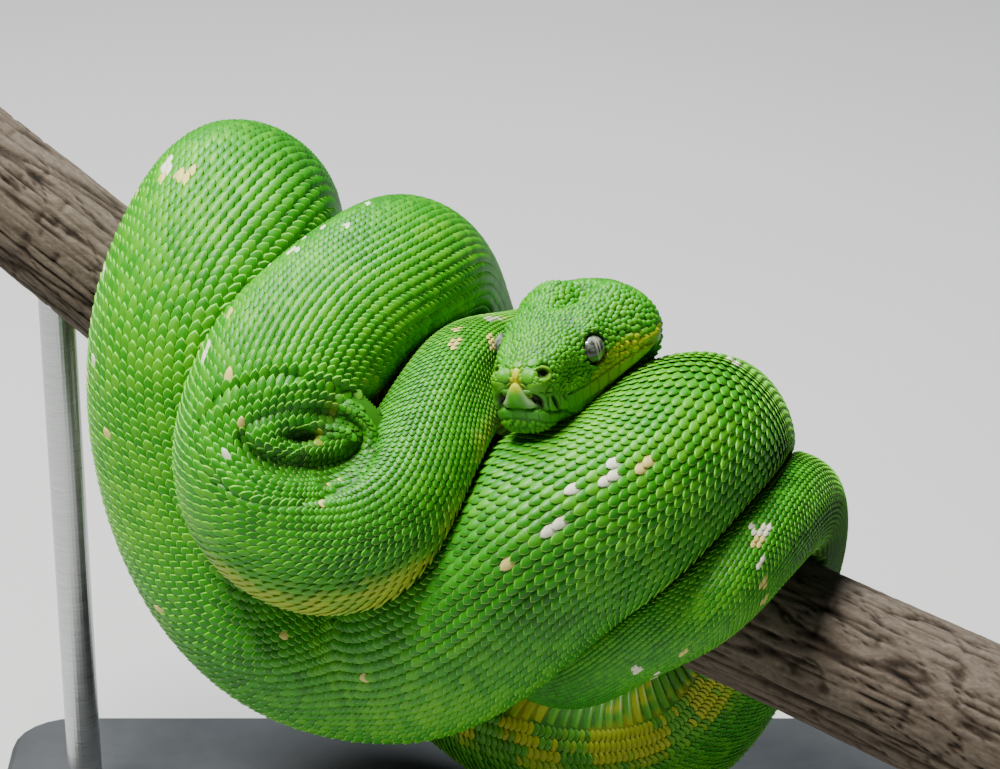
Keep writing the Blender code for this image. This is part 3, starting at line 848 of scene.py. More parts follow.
def scaly_material():
    look, tree, shader = new_material("green_scales")
    slow = noise_at(tree, 22, 2)
    tone = attribute(tree, "tone")
    depth = math_node(tree, "ADD", math_node(tree, "MULTIPLY", slow, 0.7), 0.02)
    depth = math_node(tree, "ADD", depth, math_node(tree, "MULTIPLY", tone, 0.24), clamp=True)
    rows = ((0.15, DEEP_GREEN), (0.5, LEAF_GREEN), (0.9, BRIGHT_GREEN))
    colour = ramp(tree, depth, rows)
    fine = noise_at(tree, 900, 3, 0.6)
    speck = ramp(tree, fine, ((0.3, (0.72, 0.78, 0.7)), (0.7, (1.0, 1.0, 1.0))))
    colour = blend(tree, 0.6, colour, speck, "MULTIPLY")
    edge = math_node(tree, "MULTIPLY", attribute(tree, "rim"), 0.75)
    colour = blend(tree, edge, colour, PALE_EDGE)
    yellow = attribute(tree, "yellow")
    golds = ((0.2, (0.16, 0.52, 0.0)), (0.66, (0.54, 0.56, 0.0)), (0.95, (0.64, 0.48, 0.0)))
    gold = ramp(tree, yellow, golds)
    colour = blend(tree, yellow, colour, gold)
    colour = blend(tree, attribute(tree, "pale"), colour, IVORY)
    # The dark attribute is painted shade, mixed towards a near-black green.
    colour = blend(tree, attribute(tree, "dark"), colour, PAINTED_SHADE_COLOUR)
    tree.links.new(colour, shader.inputs["Base Color"])
    dull = math_node(tree, "MULTIPLY_ADD", fine, 0.22)
    dull.node.inputs[2].default_value = 0.40
    tree.links.new(dull, shader.inputs["Roughness"])
    shader.inputs["Specular IOR Level"].default_value = 0.30
    shader.inputs["Coat Weight"].default_value = 0.20
    shader.inputs["Coat Roughness"].default_value = 0.30
    bump(tree, shader, noise_at(tree, 2600, 2), 0.25, 0.0001)
    return look


scaly = scaly_material()
print("material", scaly.name)


# %% Building and finishing meshes
def store(mesh, name, values):
    """One number for each point of the mesh, kept as a named attribute."""
    layer = mesh.attributes.new(name, "FLOAT", "POINT")
    layer.data.foreach_set("value", np.ascontiguousarray(values, np.float32).ravel())


def store_vectors(mesh, name, values):
    layer = mesh.attributes.new(name, "FLOAT_VECTOR", "POINT")
    layer.data.foreach_set("vector", np.ascontiguousarray(values, np.float32).ravel())


def mesh_from(name, points, faces):
    """A smooth mesh from places in the tables' millimetres."""
    mesh = bpy.data.meshes.new(name)
    placed = (np.asarray(points).reshape(-1, 3) + COILS_AT) * MM
    mesh.from_pydata(placed.tolist(), [], faces)
    mesh.shade_smooth()
    return mesh


def finish_piece(name, mesh, look, slot, *nodes):
    """Links a finished mesh as a piece of the object, riding on its one body."""
    mesh.materials.clear()
    mesh.materials.append(look)
    piece = new_object(name, mesh)
    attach(piece, "root")
    if nodes:
        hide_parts(*nodes)
    mesh.calc_loop_triangles()
    print(f"{name}: {len(mesh.loop_triangles)} triangles")


# %% [markdown]
# ## The skin
# One closed surface covers the whole animal, so no seam shows between neck, trunk and tail. It
# needs four times as many points round the head as round the body, so where they meet each
# body edge is joined to four head edges. A neat unwrap of its own shape, in bands along the
# body, gives the baked picture an even grain.

# %% The skin
SKIN_ANGLES, SKIN_STEP = 72, 2.4
BAKE_BAND = 250.0


def skin_faces(head_rows, body_rows):
    """Faces of the head grid, the join, the body rings and the two closed ends."""
    head, faces = tube(head_rows, HEAD_ANGLES)
    rings, body_faces = tube(body_rows, SKIN_ANGLES, head_rows * HEAD_ANGLES)
    ratio = HEAD_ANGLES // SKIN_ANGLES
    last = head[-1]
    for k in range(SKIN_ANGLES):
        fine = [last[(k * ratio + n) % HEAD_ANGLES] for n in range(ratio + 1)]
        faces.append((*fine, rings[0][(k + 1) % SKIN_ANGLES], rings[0][k]))
    return [*faces, *body_faces, tuple(reversed(head[0])), tuple(rings[-1])]


def lip_channel(places):
    """How far the skin drops away behind the lip plates, to leave room for their pits."""
    back, _, rise = np.moveaxis(places, -1, 0)
    above = rise - mouth_height(back)
    front = smooth_step((above - 0.2) / 0.5) * (1 - smooth_step((above - 3.4) / 0.6))
    front *= 1 - smooth_step((back - 8.5) / 1.0)
    rear = smooth_step((-above - 0.1) / 0.4) * (1 - smooth_step((-above - 1.9) / 0.5))
    rear *= smooth_step((back - 18) / 1.0) * (1 - smooth_step((back - 33) / 1.0))
    nostril = 1.6 * hump(away_from(NOSTRIL_AT, places), 1.9, 6)
    return 2.6 * front + 2.0 * rear + nostril


def make_skin():
    places = np.arange(BODY_FROM + 8.5, snake.length - 0.5, SKIN_STEP)
    place, angle = np.meshgrid(places, full_turn(SKIN_ANGLES), indexing="ij")
    rings = body.read(body.points, place, angle)
    sunk = head_points - grid_normals(head_points) * lip_channel(to_head(head_points))[..., None]
    points = np.concatenate((sunk.reshape(-1, 3), rings.reshape(-1, 3)))
    mesh = mesh_from("skin", points, skin_faces(len(head_points), len(places)))
    at_head = to_head(head_points.reshape(-1, 3))
    head_yellow, head_pale, head_painted_shade = head_marks(at_head)
    yellow, pale = body_marks(place.ravel(), angle.ravel(), rings.reshape(-1, 3))
    store(mesh, "yellow", np.concatenate((head_yellow, yellow)))
    store(mesh, "pale", np.concatenate((head_pale, pale)))
    # Painted shade: the skin shows only in the gaps between scales and granules, so it is darkened
    # throughout, and more on the crown.
    crown = smooth_step(at_head[:, 2] - mouth_height(at_head[:, 0]) - 4.2)
    head_painted_shade = np.maximum(head_painted_shade, 0.35 + 0.3 * crown)
    store(mesh, "dark", np.concatenate((head_painted_shade, np.full(len(yellow), 0.35))))
    store(mesh, "tone", np.full(len(points), 0.1))
    store(mesh, "rim", np.zeros(len(points)))
    head_angle = np.arange(HEAD_ANGLES) / HEAD_ANGLES
    run = np.linspace(0, BODY_FROM + 6, len(head_points))
    head_uv = np.stack(np.meshgrid(run, head_angle, indexing="ij"), axis=-1).reshape(-1, 2)
    body_uv = np.stack((place.ravel(), angle.ravel() / (2 * math.pi)), axis=-1)
    unwrap_skin(mesh, np.concatenate((head_uv, body_uv)))
    return mesh


def unwrap_skin(mesh, places):
    """Lays the skin out in bands, each a stretch of body, with no face across a seam."""
    layer = mesh.uv_layers.new(name="OFBake")
    bands = math.ceil(snake.length / BAKE_BAND)
    uv = np.zeros((len(mesh.loops), 2))
    for face in mesh.polygons:
        along, around = places[list(face.vertices)].T
        around = np.where(around.max() - around > 0.5, around + 1, around)
        band = int(along.mean() // BAKE_BAND)
        span = np.clip((along - band * BAKE_BAND) / BAKE_BAND, 0, 1)
        rows = slice(face.loop_start, face.loop_start + face.loop_total)
        uv[rows, 0] = 0.01 + 0.98 * span
        uv[rows, 1] = (band + 0.02 + 0.96 * np.clip(around, 0, 1)) / bands
    layer.data.foreach_set("uv", uv.astype(np.float32).ravel())


FLESH = [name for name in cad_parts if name.startswith(("neck", "trunk", "tail"))]
FLESH += ["head", "lower_jaw"]
finish_piece("skin", make_skin(), scaly, "scaled_skin", *sorted(FLESH))

# %% [markdown]
# ## One scale, and a tree that lays thousands of them
# Every body scale has the same form: a leaf shape, rooted under the one before it, softly
# domed, with a thin free tip that points towards the tail. It would be slow to model each one,
# so a single small solid is placed on many points with Geometry Nodes. Each point carries which
# way is out, which way is tailward, and how big the scale is there. The tree turns and sizes
# the copies, gives each a random tone, makes them real, and lays each one's patch of the
# unwrap at its root's place.

# %% The scale's form
# Half of the outline, root to tip: across, lengthwise.
SCALE_OUTLINE = ((0.34, 0.0), (0.50, 0.42), (0.31, 0.78), (0.0, 1.0))
SCALE_LIFT, SCALE_DOME, SCALE_EDGE, SCALE_ROOT = 0.17, 0.10, 0.06, 0.10
RIM_SHARE = 0.20


def closed_outline(half):
    mirrored = [(-across_it, y) for across_it, y in half[:-1]]
    return np.array([*half, *mirrored[::-1]])


def top_height(x, y):
    """The upper face over a scale one unit wide and one long."""
    return SCALE_LIFT * y - SCALE_ROOT * (1 - y) ** 2 + SCALE_DOME * (1 - (2 * x) ** 2)


def scale_template(name, half):
    """A solid scale: an outer rim, a raised inner face round one middle point, and a flat back."""
    outer = closed_outline(half)
    middle = np.array((0.0, 0.45))
    inner = middle + (outer - middle) * (1 - RIM_SHARE)
    count = len(outer)
    points = [(x, y, top_height(x, y) - SCALE_EDGE) for x, y in outer]
    points += [(x, y, top_height(x, y)) for x, y in inner]
    points.append((*middle, top_height(*middle)))
    rim = list(range(count))
    face = [count + k for k in range(count)]
    faces = strip(rim, face)
    faces += [(face[k], face[(k + 1) % count], 2 * count) for k in range(count)]
    faces.append(rim[::-1])
    mesh = bpy.data.meshes.new(name)
    mesh.from_pydata(points, [], faces)
    mesh.shade_smooth()
    edge = np.zeros(len(points))
    edge[:count] = smooth_step((outer[:, 1] - 0.2) / 0.5)
    store(mesh, "rim", edge)
    patch = np.array(points)[:, :2] + (0.5, 0.0)
    layer = mesh.attributes.new("patch", "FLOAT2", "POINT")
    layer.data.foreach_set("vector", patch.astype(np.float32).ravel())
    mesh.calc_loop_triangles()
    print(f"{name}: {len(mesh.loop_triangles)} triangles")
    return new_object(name, mesh)


# %% The tree that lays them
BAKE_PATCH = 0.003


def link(tree, source, target):
    tree.links.new(source, target)


def named(tree, name, kind):
    node = add_node(tree, "GeometryNodeInputNamedAttribute", {"data_type": kind}, Name=name)
    return node.outputs["Attribute"]


def vector_math(tree, operation, first, second):
    node = tree.nodes.new("ShaderNodeVectorMath")
    node.operation = operation
    link(tree, first, node.inputs[0])
    if isinstance(second, tuple):
        node.inputs[1].default_value = second
    else:
        link(tree, second, node.inputs["Scale" if operation == "SCALE" else 1])
    return node.outputs[0]


def random_value(tree, low, high, seed):
    node = tree.nodes.new("FunctionNodeRandomValue")
    node.data_type = "FLOAT"
    for index, value in ((2, low), (3, high)):
        if isinstance(value, bpy.types.NodeSocket):
            link(tree, value, node.inputs[index])
        else:
            node.inputs[index].default_value = value
    link(tree, seed, node.inputs["Seed"])
    return node.outputs[1]


def laying_tree():
    """Scales laid on points: the node tree that every coat piece uses."""
    tree = bpy.data.node_groups.new("lay scales", "GeometryNodeTree")
    sockets = (
        ("Points", "NodeSocketGeometry"), ("Scale form", "NodeSocketObject"),
        ("Least size", "NodeSocketFloat"), ("Most size", "NodeSocketFloat"),
        ("Bake patch", "NodeSocketFloat"), ("Seed", "NodeSocketInt"),
        ("Look", "NodeSocketMaterial"),
    )
    for name, kind in sockets:
        tree.interface.new_socket(name, in_out="INPUT", socket_type=kind)
    tree.interface.new_socket("Geometry", in_out="OUTPUT", socket_type="NodeSocketGeometry")
    given = tree.nodes.new("NodeGroupInput").outputs
    turn = tree.nodes.new("FunctionNodeAxesToRotation")
    turn.primary_axis, turn.secondary_axis = "Z", "Y"
    link(tree, named(tree, "outward", "FLOAT_VECTOR"), turn.inputs["Primary Axis"])
    link(tree, named(tree, "tailward", "FLOAT_VECTOR"), turn.inputs["Secondary Axis"])
    spread = random_value(tree, given["Least size"], given["Most size"], given["Seed"])
    size = vector_math(tree, "SCALE", named(tree, "size", "FLOAT_VECTOR"), spread)
    form = tree.nodes.new("GeometryNodeObjectInfo")
    link(tree, given["Scale form"], form.inputs["Object"])
    lay = tree.nodes.new("GeometryNodeInstanceOnPoints")
    link(tree, given["Points"], lay.inputs["Points"])
    link(tree, form.outputs["Geometry"], lay.inputs["Instance"])
    link(tree, turn.outputs[0], lay.inputs["Rotation"])
    link(tree, size, lay.inputs["Scale"])
    tone = add_node(
        tree, "GeometryNodeStoreNamedAttribute", {"data_type": "FLOAT", "domain": "INSTANCE"},
        Name="tone",
    )
    link(tree, lay.outputs[0], tone.inputs["Geometry"])
    link(tree, random_value(tree, 0.0, 1.0, given["Seed"]), tone.inputs["Value"])
    real = tree.nodes.new("GeometryNodeRealizeInstances")
    link(tree, tone.outputs[0], real.inputs["Geometry"])
    patch = named(tree, "patch", "FLOAT_VECTOR")
    centred = vector_math(tree, "SUBTRACT", patch, (0.5, 0.5, 0.0))
    small = vector_math(tree, "SCALE", centred, given["Bake patch"])
    unwrap = vector_math(tree, "ADD", small, named(tree, "root_place", "FLOAT_VECTOR"))
    baked = add_node(
        tree, "GeometryNodeStoreNamedAttribute", {"data_type": "FLOAT2", "domain": "CORNER"},
        Name="OFBake",
    )
    link(tree, real.outputs[0], baked.inputs["Geometry"])
    link(tree, unwrap, baked.inputs["Value"])
    paint = tree.nodes.new("GeometryNodeSetMaterial")
    link(tree, baked.outputs[0], paint.inputs["Geometry"])
    link(tree, given["Look"], paint.inputs["Material"])
    link(tree, paint.outputs[0], tree.nodes.new("NodeGroupOutput").inputs[0])
    return tree


LAY_SCALES = laying_tree()
SPENT_ATTRIBUTES = ("outward", "tailward", "size", "root_place", "patch")


def lay_scales(name, form, roots, seed, spread=(0.94, 1.06)):
    """Scales of one form on the given roots, made into one plain mesh piece."""
    mesh = bpy.data.meshes.new(name + "_roots")
    placed = (roots["at"] + COILS_AT) * MM
    mesh.from_pydata(placed.tolist(), [], [])
    for key in ("outward", "tailward"):
        store_vectors(mesh, key, roots[key])
    store_vectors(mesh, "size", roots["size"] * MM)
    store_vectors(mesh, "root_place", np.c_[roots["unwrap"], np.zeros(len(placed))])
    for key in ("yellow", "pale", "dark"):
        store(mesh, key, roots[key])
    holder = new_object(name + "_roots", mesh)
    modifier = holder.modifiers.new("lay scales", "NODES")
    modifier.node_group = LAY_SCALES
    values = {
        "Scale form": form, "Least size": spread[0], "Most size": spread[1],
        "Bake patch": BAKE_PATCH, "Seed": seed, "Look": scaly,
    }
    for item in LAY_SCALES.interface.items_tree:
        if item.in_out == "INPUT" and item.name in values:
            modifier[item.identifier] = values[item.name]
    depsgraph = bpy.context.evaluated_depsgraph_get()
    made = bpy.data.meshes.new_from_object(
        holder.evaluated_get(depsgraph), preserve_all_data_layers=True, depsgraph=depsgraph
    )
    made.name = name
    for key in SPENT_ATTRIBUTES:
        if key in made.attributes:
            made.attributes.remove(made.attributes[key])
    bpy.data.objects.remove(holder)
    finish_piece(name, made, scaly, "scaled_skin")


# %% [markdown]
# ## The fold at the pinch
# Where the front loop doubles back, loose skin bridges the two turns and is drawn into long
# ripples round a small pit. Two swept tubes alone would meet in a sharp groove. So the body is
# pressed in a little there, and one more patch of skin is laid over it. Its heights are read
# off the body along the way the pinch faces, then a membrane is let down on them: each point
# moves to the mean of its neighbours, but never below the body. Ripples and pit are pressed in
# last. The patch's border dips under the body, so no edge shows.

# %% A membrane over the pinch
FOLD_STEP, FOLD_PASSES = 0.5, 500


def fold_heights():
    """Heights of the body over the fold's plane, and the way its scales lie there."""
    run = np.arange(-FOLD_WIDE, FOLD_WIDE + 0.1, FOLD_STEP)
    y, x = np.meshgrid(run, run, indexing="ij")
    base = PINCH + x[..., None] * FOLD_AXES[0] + y[..., None] * FOLD_AXES[1]
    height, lie = np.full(x.shape, -8.0), np.zeros((*x.shape, 3))
    for index in np.ndindex(x.shape):
        start = Vector(base[index] + 30 * FOLD_AXES[2])
        hit, _, face, _ = BODY_SURFACE.ray_cast(start, Vector(-FOLD_AXES[2]))
        if hit is not None:
            height[index] = max((np.array(hit) - base[index]) @ FOLD_AXES[2], -8.0)
            lie[index] = unit(body.lengthwise[face // GRID_ANGLES, face % GRID_ANGLES])
    return x, y, base, height, lie


def blurred(values):
    inner = (values[:-2, 1:-1] + values[2:, 1:-1] + values[1:-1, :-2] + values[1:-1, 2:]) / 4
    mixed = values.copy()
    mixed[1:-1, 1:-1] = inner
    return mixed


def fold_rings(x, y):
    """The short half-axis of the ring that passes through a place; all share two foci."""
    y = np.where(y > 0, 1.3 * y, y)
    far = (np.hypot(x - FOLD_FOCUS, y) + np.hypot(x + FOLD_FOCUS, y)) / 2
    return np.sqrt(np.maximum(far**2 - FOLD_FOCUS**2, 0))


def fold_relief(x, y):
    ripple = 0.5 - 0.5 * np.cos(2 * math.pi * np.clip((fold_rings(x, y) - 2.4) / 7.2, 0, 1))
    upper = smooth_step((y + 2) / 4)
    ripple *= 1 - upper * (0.65 - 0.45 * smooth_step((x + 1) / 6))
    hollow = np.exp(-(np.hypot(x / 3.5, y / 1.6) ** 3))
    # The second value is painted shade, deepest in the pit and along the ripples' furrows.
    return 2.0 * ripple + 2.6 * hollow, np.maximum(0.8 * ripple, hollow)


def fold_membrane():
    x, y, base, height, lie = fold_heights()
    height = height + fold_depth(base)
    hold = 1 - smooth_step((np.hypot(x - 3, y + 1.5) - 6.5) / 4.5)
    cover = height.copy()
    for _ in range(FOLD_PASSES):
        cover = height + hold * (np.maximum(height, blurred(cover)) - height)
    for _ in range(3):
        cover = cover + 0.7 * (blurred(cover) - cover)
    relief, shade = fold_relief(x, y)
    edge = fold_edge(x, y)
    cover = cover - relief * (1 - smooth_step((edge - 0.8) / 0.2))
    cover = cover - 1.6 * smooth_step((edge - 0.80) / 0.20)
    points = base + cover[..., None] * FOLD_AXES[2]
    slope = np.hypot(*np.gradient(cover, FOLD_STEP))
    return x, y, points, shade, lie, cover, slope


fold_x, fold_y, fold_points, fold_shade, fold_lie, fold_cover, fold_slope = fold_membrane()
fold_normals = unit(np.cross(np.gradient(fold_points, axis=1), np.gradient(fold_points, axis=0)))
print("fold grid", fold_points.shape[:2])


def fold_read(values, x, y):
    """One of the fold's arrays, read between its points."""
    row = np.clip((y + FOLD_WIDE) / FOLD_STEP, 0, len(values) - 1.001)
    column = np.clip((x + FOLD_WIDE) / FOLD_STEP, 0, values.shape[1] - 1.001)
    i, j = row.astype(int), column.astype(int)
    f, g = row - i, column - j
    if values.ndim == 3:
        f, g = f[..., None], g[..., None]
    near = values[i, j] * (1 - g) + values[i, j + 1] * g
    return near * (1 - f) + (values[i + 1, j] * (1 - g) + values[i + 1, j + 1] * g) * f


def fold_shade_at(points):
    x, y, _ = np.moveaxis((points - PINCH) @ FOLD_AXES.T, -1, 0)
    return fold_read(fold_shade, x, y)


def raised_on_fold(points):
    """How far body places must rise to lie on the fold, and which lie too deep under it."""
    x, y, z = np.moveaxis((points - PINCH) @ FOLD_AXES.T, -1, 0)
    near = (np.abs(x) < FOLD_WIDE) & (np.abs(y) < FOLD_WIDE) & (fold_edge(x, y) < 1.0)
    rise = np.where(near, fold_read(fold_cover, x, y) - z, 0.0)
    rise = np.where((rise > 0) & (rise < 14), rise, 0.0)
    return rise, rise > FOLD_DEEP, fold_read(fold_normals, x, y)


# %% [markdown]
# ## The rows of scales
# On a python each scale lies half a step behind its neighbours, so the rows read as diagonals.
# Here rows run the length of the body. They are closest along the back and widest beside the
# belly. Where the tail thins, pairs of rows end, so that the half step between neighbours is
# never lost, and the step shortens with the girth.

# %% Where each row runs
ROWS = 44
BELLY_ROW_EXTRA = 0.55
PIECES = 7
SCALE_SEED = 100
COAT_FROM = 43.0
# Radius at which another four rows have ended.
ROW_ENDS = (7.4, 6.5, 5.7, 4.9, 4.1, 3.4, 2.8, 2.2)


def step_at(place):
    """Distance from scale to scale along a row."""
    return 0.34 + 0.058 * snake.radius_at(place)


def row_shares(place):
    """How much of the way round each row takes up here; an ended row takes none."""
    rank = np.abs(np.arange(ROWS) - (ROWS - 1) / 2) / (ROWS / 2)
    shares = np.tile(1 + BELLY_ROW_EXTRA * smooth_step((rank - 0.45) / 0.55), (len(place), 1))
    tail = np.maximum(place - snake.length + 330, 0) > 0
    radius = np.where(tail, snake.radius_at(place), 99)
    for count, ends in enumerate(ROW_ENDS):
        left = smooth_step((radius - ends) / 0.35)
        first = 2 * count + 4
        for row in (first, first + 1, ROWS - 2 - first, ROWS - 1 - first):
            shares[:, row] *= left
    return shares


def row_roots():
    """Every scale root on the body: place along, angle round, row spacing in radians."""
    fine = np.arange(COAT_FROM, snake.length - 1.5, 0.25)
    count = running(0.25 / step_at(fine[:-1]))
    roots = []
    reach = math.pi - BELLY_HALF
    for half in (0, 1):
        places = np.interp(np.arange(half * 0.5, count[-1], 1.0), count, fine)
        shares = row_shares(places)
        whole = shares.sum(axis=1, keepdims=True)
        middle = (np.cumsum(shares, axis=1) - shares / 2) / whole
        angles = -reach + 2 * reach * middle
        widths = 2 * reach * shares / whole
        for row in range(half, ROWS, 2):
            kept = shares[:, row] > 0.55
            roots.append(np.stack((places[kept], angles[kept, row], widths[kept, row]), axis=1))
    return np.concatenate(roots)


def unwrap_place(place, angle, first, last):
    """Where a root lies on an unwrap of its stretch of body, from 0 to 1 both ways."""
    u = 0.02 + 0.96 * (place - first) / (last - first)
    v = 0.02 + 0.96 * (turned(angle) + math.pi) / (2 * math.pi)
    return np.stack((u, v), axis=-1)


def make_body_scales():
    form = scale_template("scale_form", SCALE_OUTLINE)
    roots = row_roots()
    roots = roots[np.argsort(roots[:, 0], kind="stable")]
    bounds, settled = np.linspace(0, len(roots), PIECES + 1).astype(int), []
    for number, (first, last) in enumerate(zip(bounds, bounds[1:])):
        place, angle, width = roots[first:last].T
        at = body.read(body.points, place, angle)
        rise, buried, fold_out = raised_on_fold(at)
        squeezed = np.linalg.norm(body.read(body.lengthwise, place, angle), axis=1) < 0.42
        facing = body.read(body.normals, place, angle) @ FOLD_AXES[2]
        buried = buried | ((squeezed | (facing < 0.55)) & (rise > 0.2))
        place, angle, width, at = place[~buried], angle[~buried], width[~buried], at[~buried]
        rise, fold_out = rise[~buried, None], fold_out[~buried]
        lengthwise = body.read(body.lengthwise, place, angle)
        crosswise = body.read(body.crosswise, place, angle)
        stretch = np.clip(np.linalg.norm(lengthwise, axis=1), 0.8, 2.0)
        wide = np.linalg.norm(crosswise, axis=1) * width * 1.28
        long = step_at(place) * stretch * 1.6
        high = 0.5 * (wide + 0.75 * long)
        yellow, pale = body_marks(place, angle, at)
        # Body scales lying on the fold take its painted shade in the furrows.
        shade = fold_shade_at(at) * (rise[:, 0] > 0)
        at = at + rise * FOLD_AXES[2]
        settled.append(at[rise[:, 0] > 0])
        out = np.where(rise > 0, fold_out, body.read(body.normals, place, angle))
        tailward = across(lengthwise, out)
        layer = {
            "at": at - tailward * (step_at(place) * stretch * 0.5)[:, None],
            "outward": out,
            "tailward": tailward,
            "size": np.stack((wide, long, high), axis=1),
            "unwrap": unwrap_place(place, angle, place[0], place[-1]),
            "yellow": yellow, "pale": pale, "dark": FOLD_SHADE * shade,
        }
        lay_scales(f"scales_{number + 1}", form, layer, SCALE_SEED + number)
    bpy.data.objects.remove(form)
    print(len(roots), "scales on the body")
    return np.concatenate(settled)


fold_settled = make_body_scales()

# %% [markdown]
# ## The head's granules
# Small domed granules cover the head, not rows: about a millimetre wide on the crown, larger
# on the temples and beside the lips. They are spread evenly but in no pattern. Each root is
# moved a few times to the middle of the patch of skin nearest to it, and the roots settle like
# bubbles. The trick of many close samples of the surface keeps this short.

# %% Spreading roots over the head
HEAD_SEED, HEAD_SAMPLES = 7, 60000
LIP_HEIGHT, CHIN_LIP_HEIGHT = 3.1, 2.3


def head_samples(count):
    """Evenly random places on the head's skin: point, outward direction, grid row and column."""
    rng = np.random.default_rng(HEAD_SEED)
    normals = grid_normals(head_points)
    lengthwise = np.gradient(head_points, axis=0)
    crosswise = (np.roll(head_points, -1, axis=1) - np.roll(head_points, 1, axis=1)) / 2
    area = np.linalg.norm(np.cross(lengthwise, crosswise), axis=-1)
    chance = (area / area.sum()).ravel()
    cell = rng.choice(chance.size, count, p=chance)
    row, column = np.divmod(cell, HEAD_ANGLES)
    shift = rng.random((2, count, 1)) - 0.5
    points = head_points[row, column] + lengthwise[row, column] * shift[0]
    points += crosswise[row, column] * shift[1]
    return points, normals[row, column], unit(lengthwise[row, column]), row, column


def granule_size(places):
    """How wide granules are at places in the head's own directions; nought where none grow."""
    back, aside, rise = np.moveaxis(places, -1, 0)
    side = np.abs(aside)
    mouth = mouth_height(back)
    wide = 0.86 + 0.34 * smooth_step((back - 14) / 20) + 0.35 * smooth_step((-2 - rise) / 5)
    wide += 0.45 * hump(rise - 0.5, 2.6) * smooth_step((back - 22) / 4) * smooth_step((side - 8) / 3)
    wide -= 0.32 * smooth_step((-3.2 - rise) / 1.5) * (1 - smooth_step((back - 12) / 8))
    lip_ends = 1 - smooth_step((back - 37) / 1.0)
    upper = (rise < mouth + LIP_HEIGHT + 0.3) & (rise > mouth)
    lower = (rise <= mouth) & (rise > mouth - CHIN_LIP_HEIGHT - 0.2)
    front = (back < 2.0) & (side < 3.4) & (rise < 2.0) & (rise > mouth - 2.4)
    eye = away_from(EYE_AT, places) < EYE_RADIUS + 0.15
    nostril = away_from(NOSTRIL_AT, places) < 2.15
    bare = ((upper | lower) & (lip_ends > 0.5)) | eye | nostril | front
    return np.where(bare, 0.0, wide)


def nearest_tree(points):
    tree = kdtree.KDTree(len(points))
    for index, point in enumerate(points):
        tree.insert(point, index)
    tree.balance()
    return tree


def settled_roots(points, sizes, rounds=4):
    """A choice among the samples that keeps each the local size from all the others."""
    tree = nearest_tree(points)
    taken = np.zeros(len(points), bool)
    chosen = []
    for index, point in enumerate(points):
        if taken[index] or sizes[index] == 0:
            continue
        chosen.append(index)
        for _, other, _ in tree.find_range(point, 0.84 * sizes[index]):
            taken[other] = True
    seeds = points[chosen]
    for _ in range(rounds):
        near = nearest_tree(seeds)
        owner = np.array([near.find(point)[1] for point in points])
        owner[sizes == 0] = -1
        held = owner >= 0
        sums = np.zeros_like(seeds)
        np.add.at(sums, owner[held], points[held])
        counts = np.bincount(owner[held], minlength=len(seeds))
        seeds = sums / np.maximum(counts, 1)[:, None]
        seeds = seeds[counts > 0]
    return np.array([tree.find(point)[1] for point in seeds])


# %% Laying the granules
GRANULE_OUTLINE = ((0.26, 0.0), (0.50, 0.34), (0.42, 0.74), (0.0, 1.0))
GRANULE_SEED, GRANULE_SPREAD = 51, (0.9, 1.1)


def make_head_granules():
    points, normals, tailward, row, column = head_samples(HEAD_SAMPLES)
    places = to_head(points)
    sizes = granule_size(places)
    chosen = settled_roots(points, sizes)
    chosen = chosen[row[chosen] > 2]
    wide = sizes[chosen]
    at, out, back = points[chosen], normals[chosen], tailward[chosen]
    yellow, pale, dark = head_marks(places[chosen])
    layer = {
        "at": at - back * (0.55 * wide)[:, None],
        "outward": out,
        "tailward": back,
        "size": np.stack((1.16 * wide, 1.26 * wide, 1.75 * wide), axis=1),
        "unwrap": np.stack((row[chosen] / len(head_points), column[chosen] / HEAD_ANGLES), axis=1),
        # The head's painted shade, held to at most 0.4 on the granules.
        "yellow": yellow, "pale": pale, "dark": np.minimum(dark, 0.4),
    }
    form = scale_template("granule_form", GRANULE_OUTLINE)
    lay_scales("head_granules", form, layer, GRANULE_SEED, GRANULE_SPREAD)
    bpy.data.objects.remove(form)
    print(len(chosen), "granules on the head")


make_head_granules()

# %% The fold's skin and scales
FOLD_ROW, FOLD_ALONG = 1.2, 1.15
FOLD_SEED = 77


def make_fold_skin():
    """The patch as a closed sheet, cut to its oval border."""
    keep = fold_edge(fold_x, fold_y) < 1.0
    number = np.full(keep.shape, -1)
    number[keep] = np.arange(keep.sum())
    count = int(keep.sum())
    quads = []
    for i, j in np.argwhere(keep[:-1, :-1] & keep[1:, :-1] & keep[:-1, 1:] & keep[1:, 1:]):
        quads.append((number[i, j], number[i, j + 1], number[i + 1, j + 1], number[i + 1, j]))
    sides = {}
    for a, b, c, d in quads:
        sides.update(dict.fromkeys(((a, b), (b, c), (c, d), (d, a))))
    border = [pair for pair in sides if (pair[1], pair[0]) not in sides]
    faces = [tuple(int(k) for k in quad) for quad in quads]
    faces += [tuple(int(k) + count for k in reversed(quad)) for quad in quads]
    faces += [(int(b), int(a), int(a) + count, int(b) + count) for a, b in border]
    top = fold_points[keep]
    mesh = mesh_from("fold_skin", np.concatenate((top, top - FOLD_AXES[2] * 1.2)), faces)
    # Painted shade on the fold's skin, which shows between its scales, deeper in the furrows.
    shade = np.clip(0.35 + 0.25 * fold_shade[keep], 0, 0.8)
    store(mesh, "dark", np.tile(shade, 2))
    for name, value in (("yellow", 0.1), ("pale", 0.0), ("tone", 0.1), ("rim", 0.0)):
        store(mesh, name, np.full(2 * count, value))
    finish_piece("fold_skin", mesh, scaly, "scaled_skin")


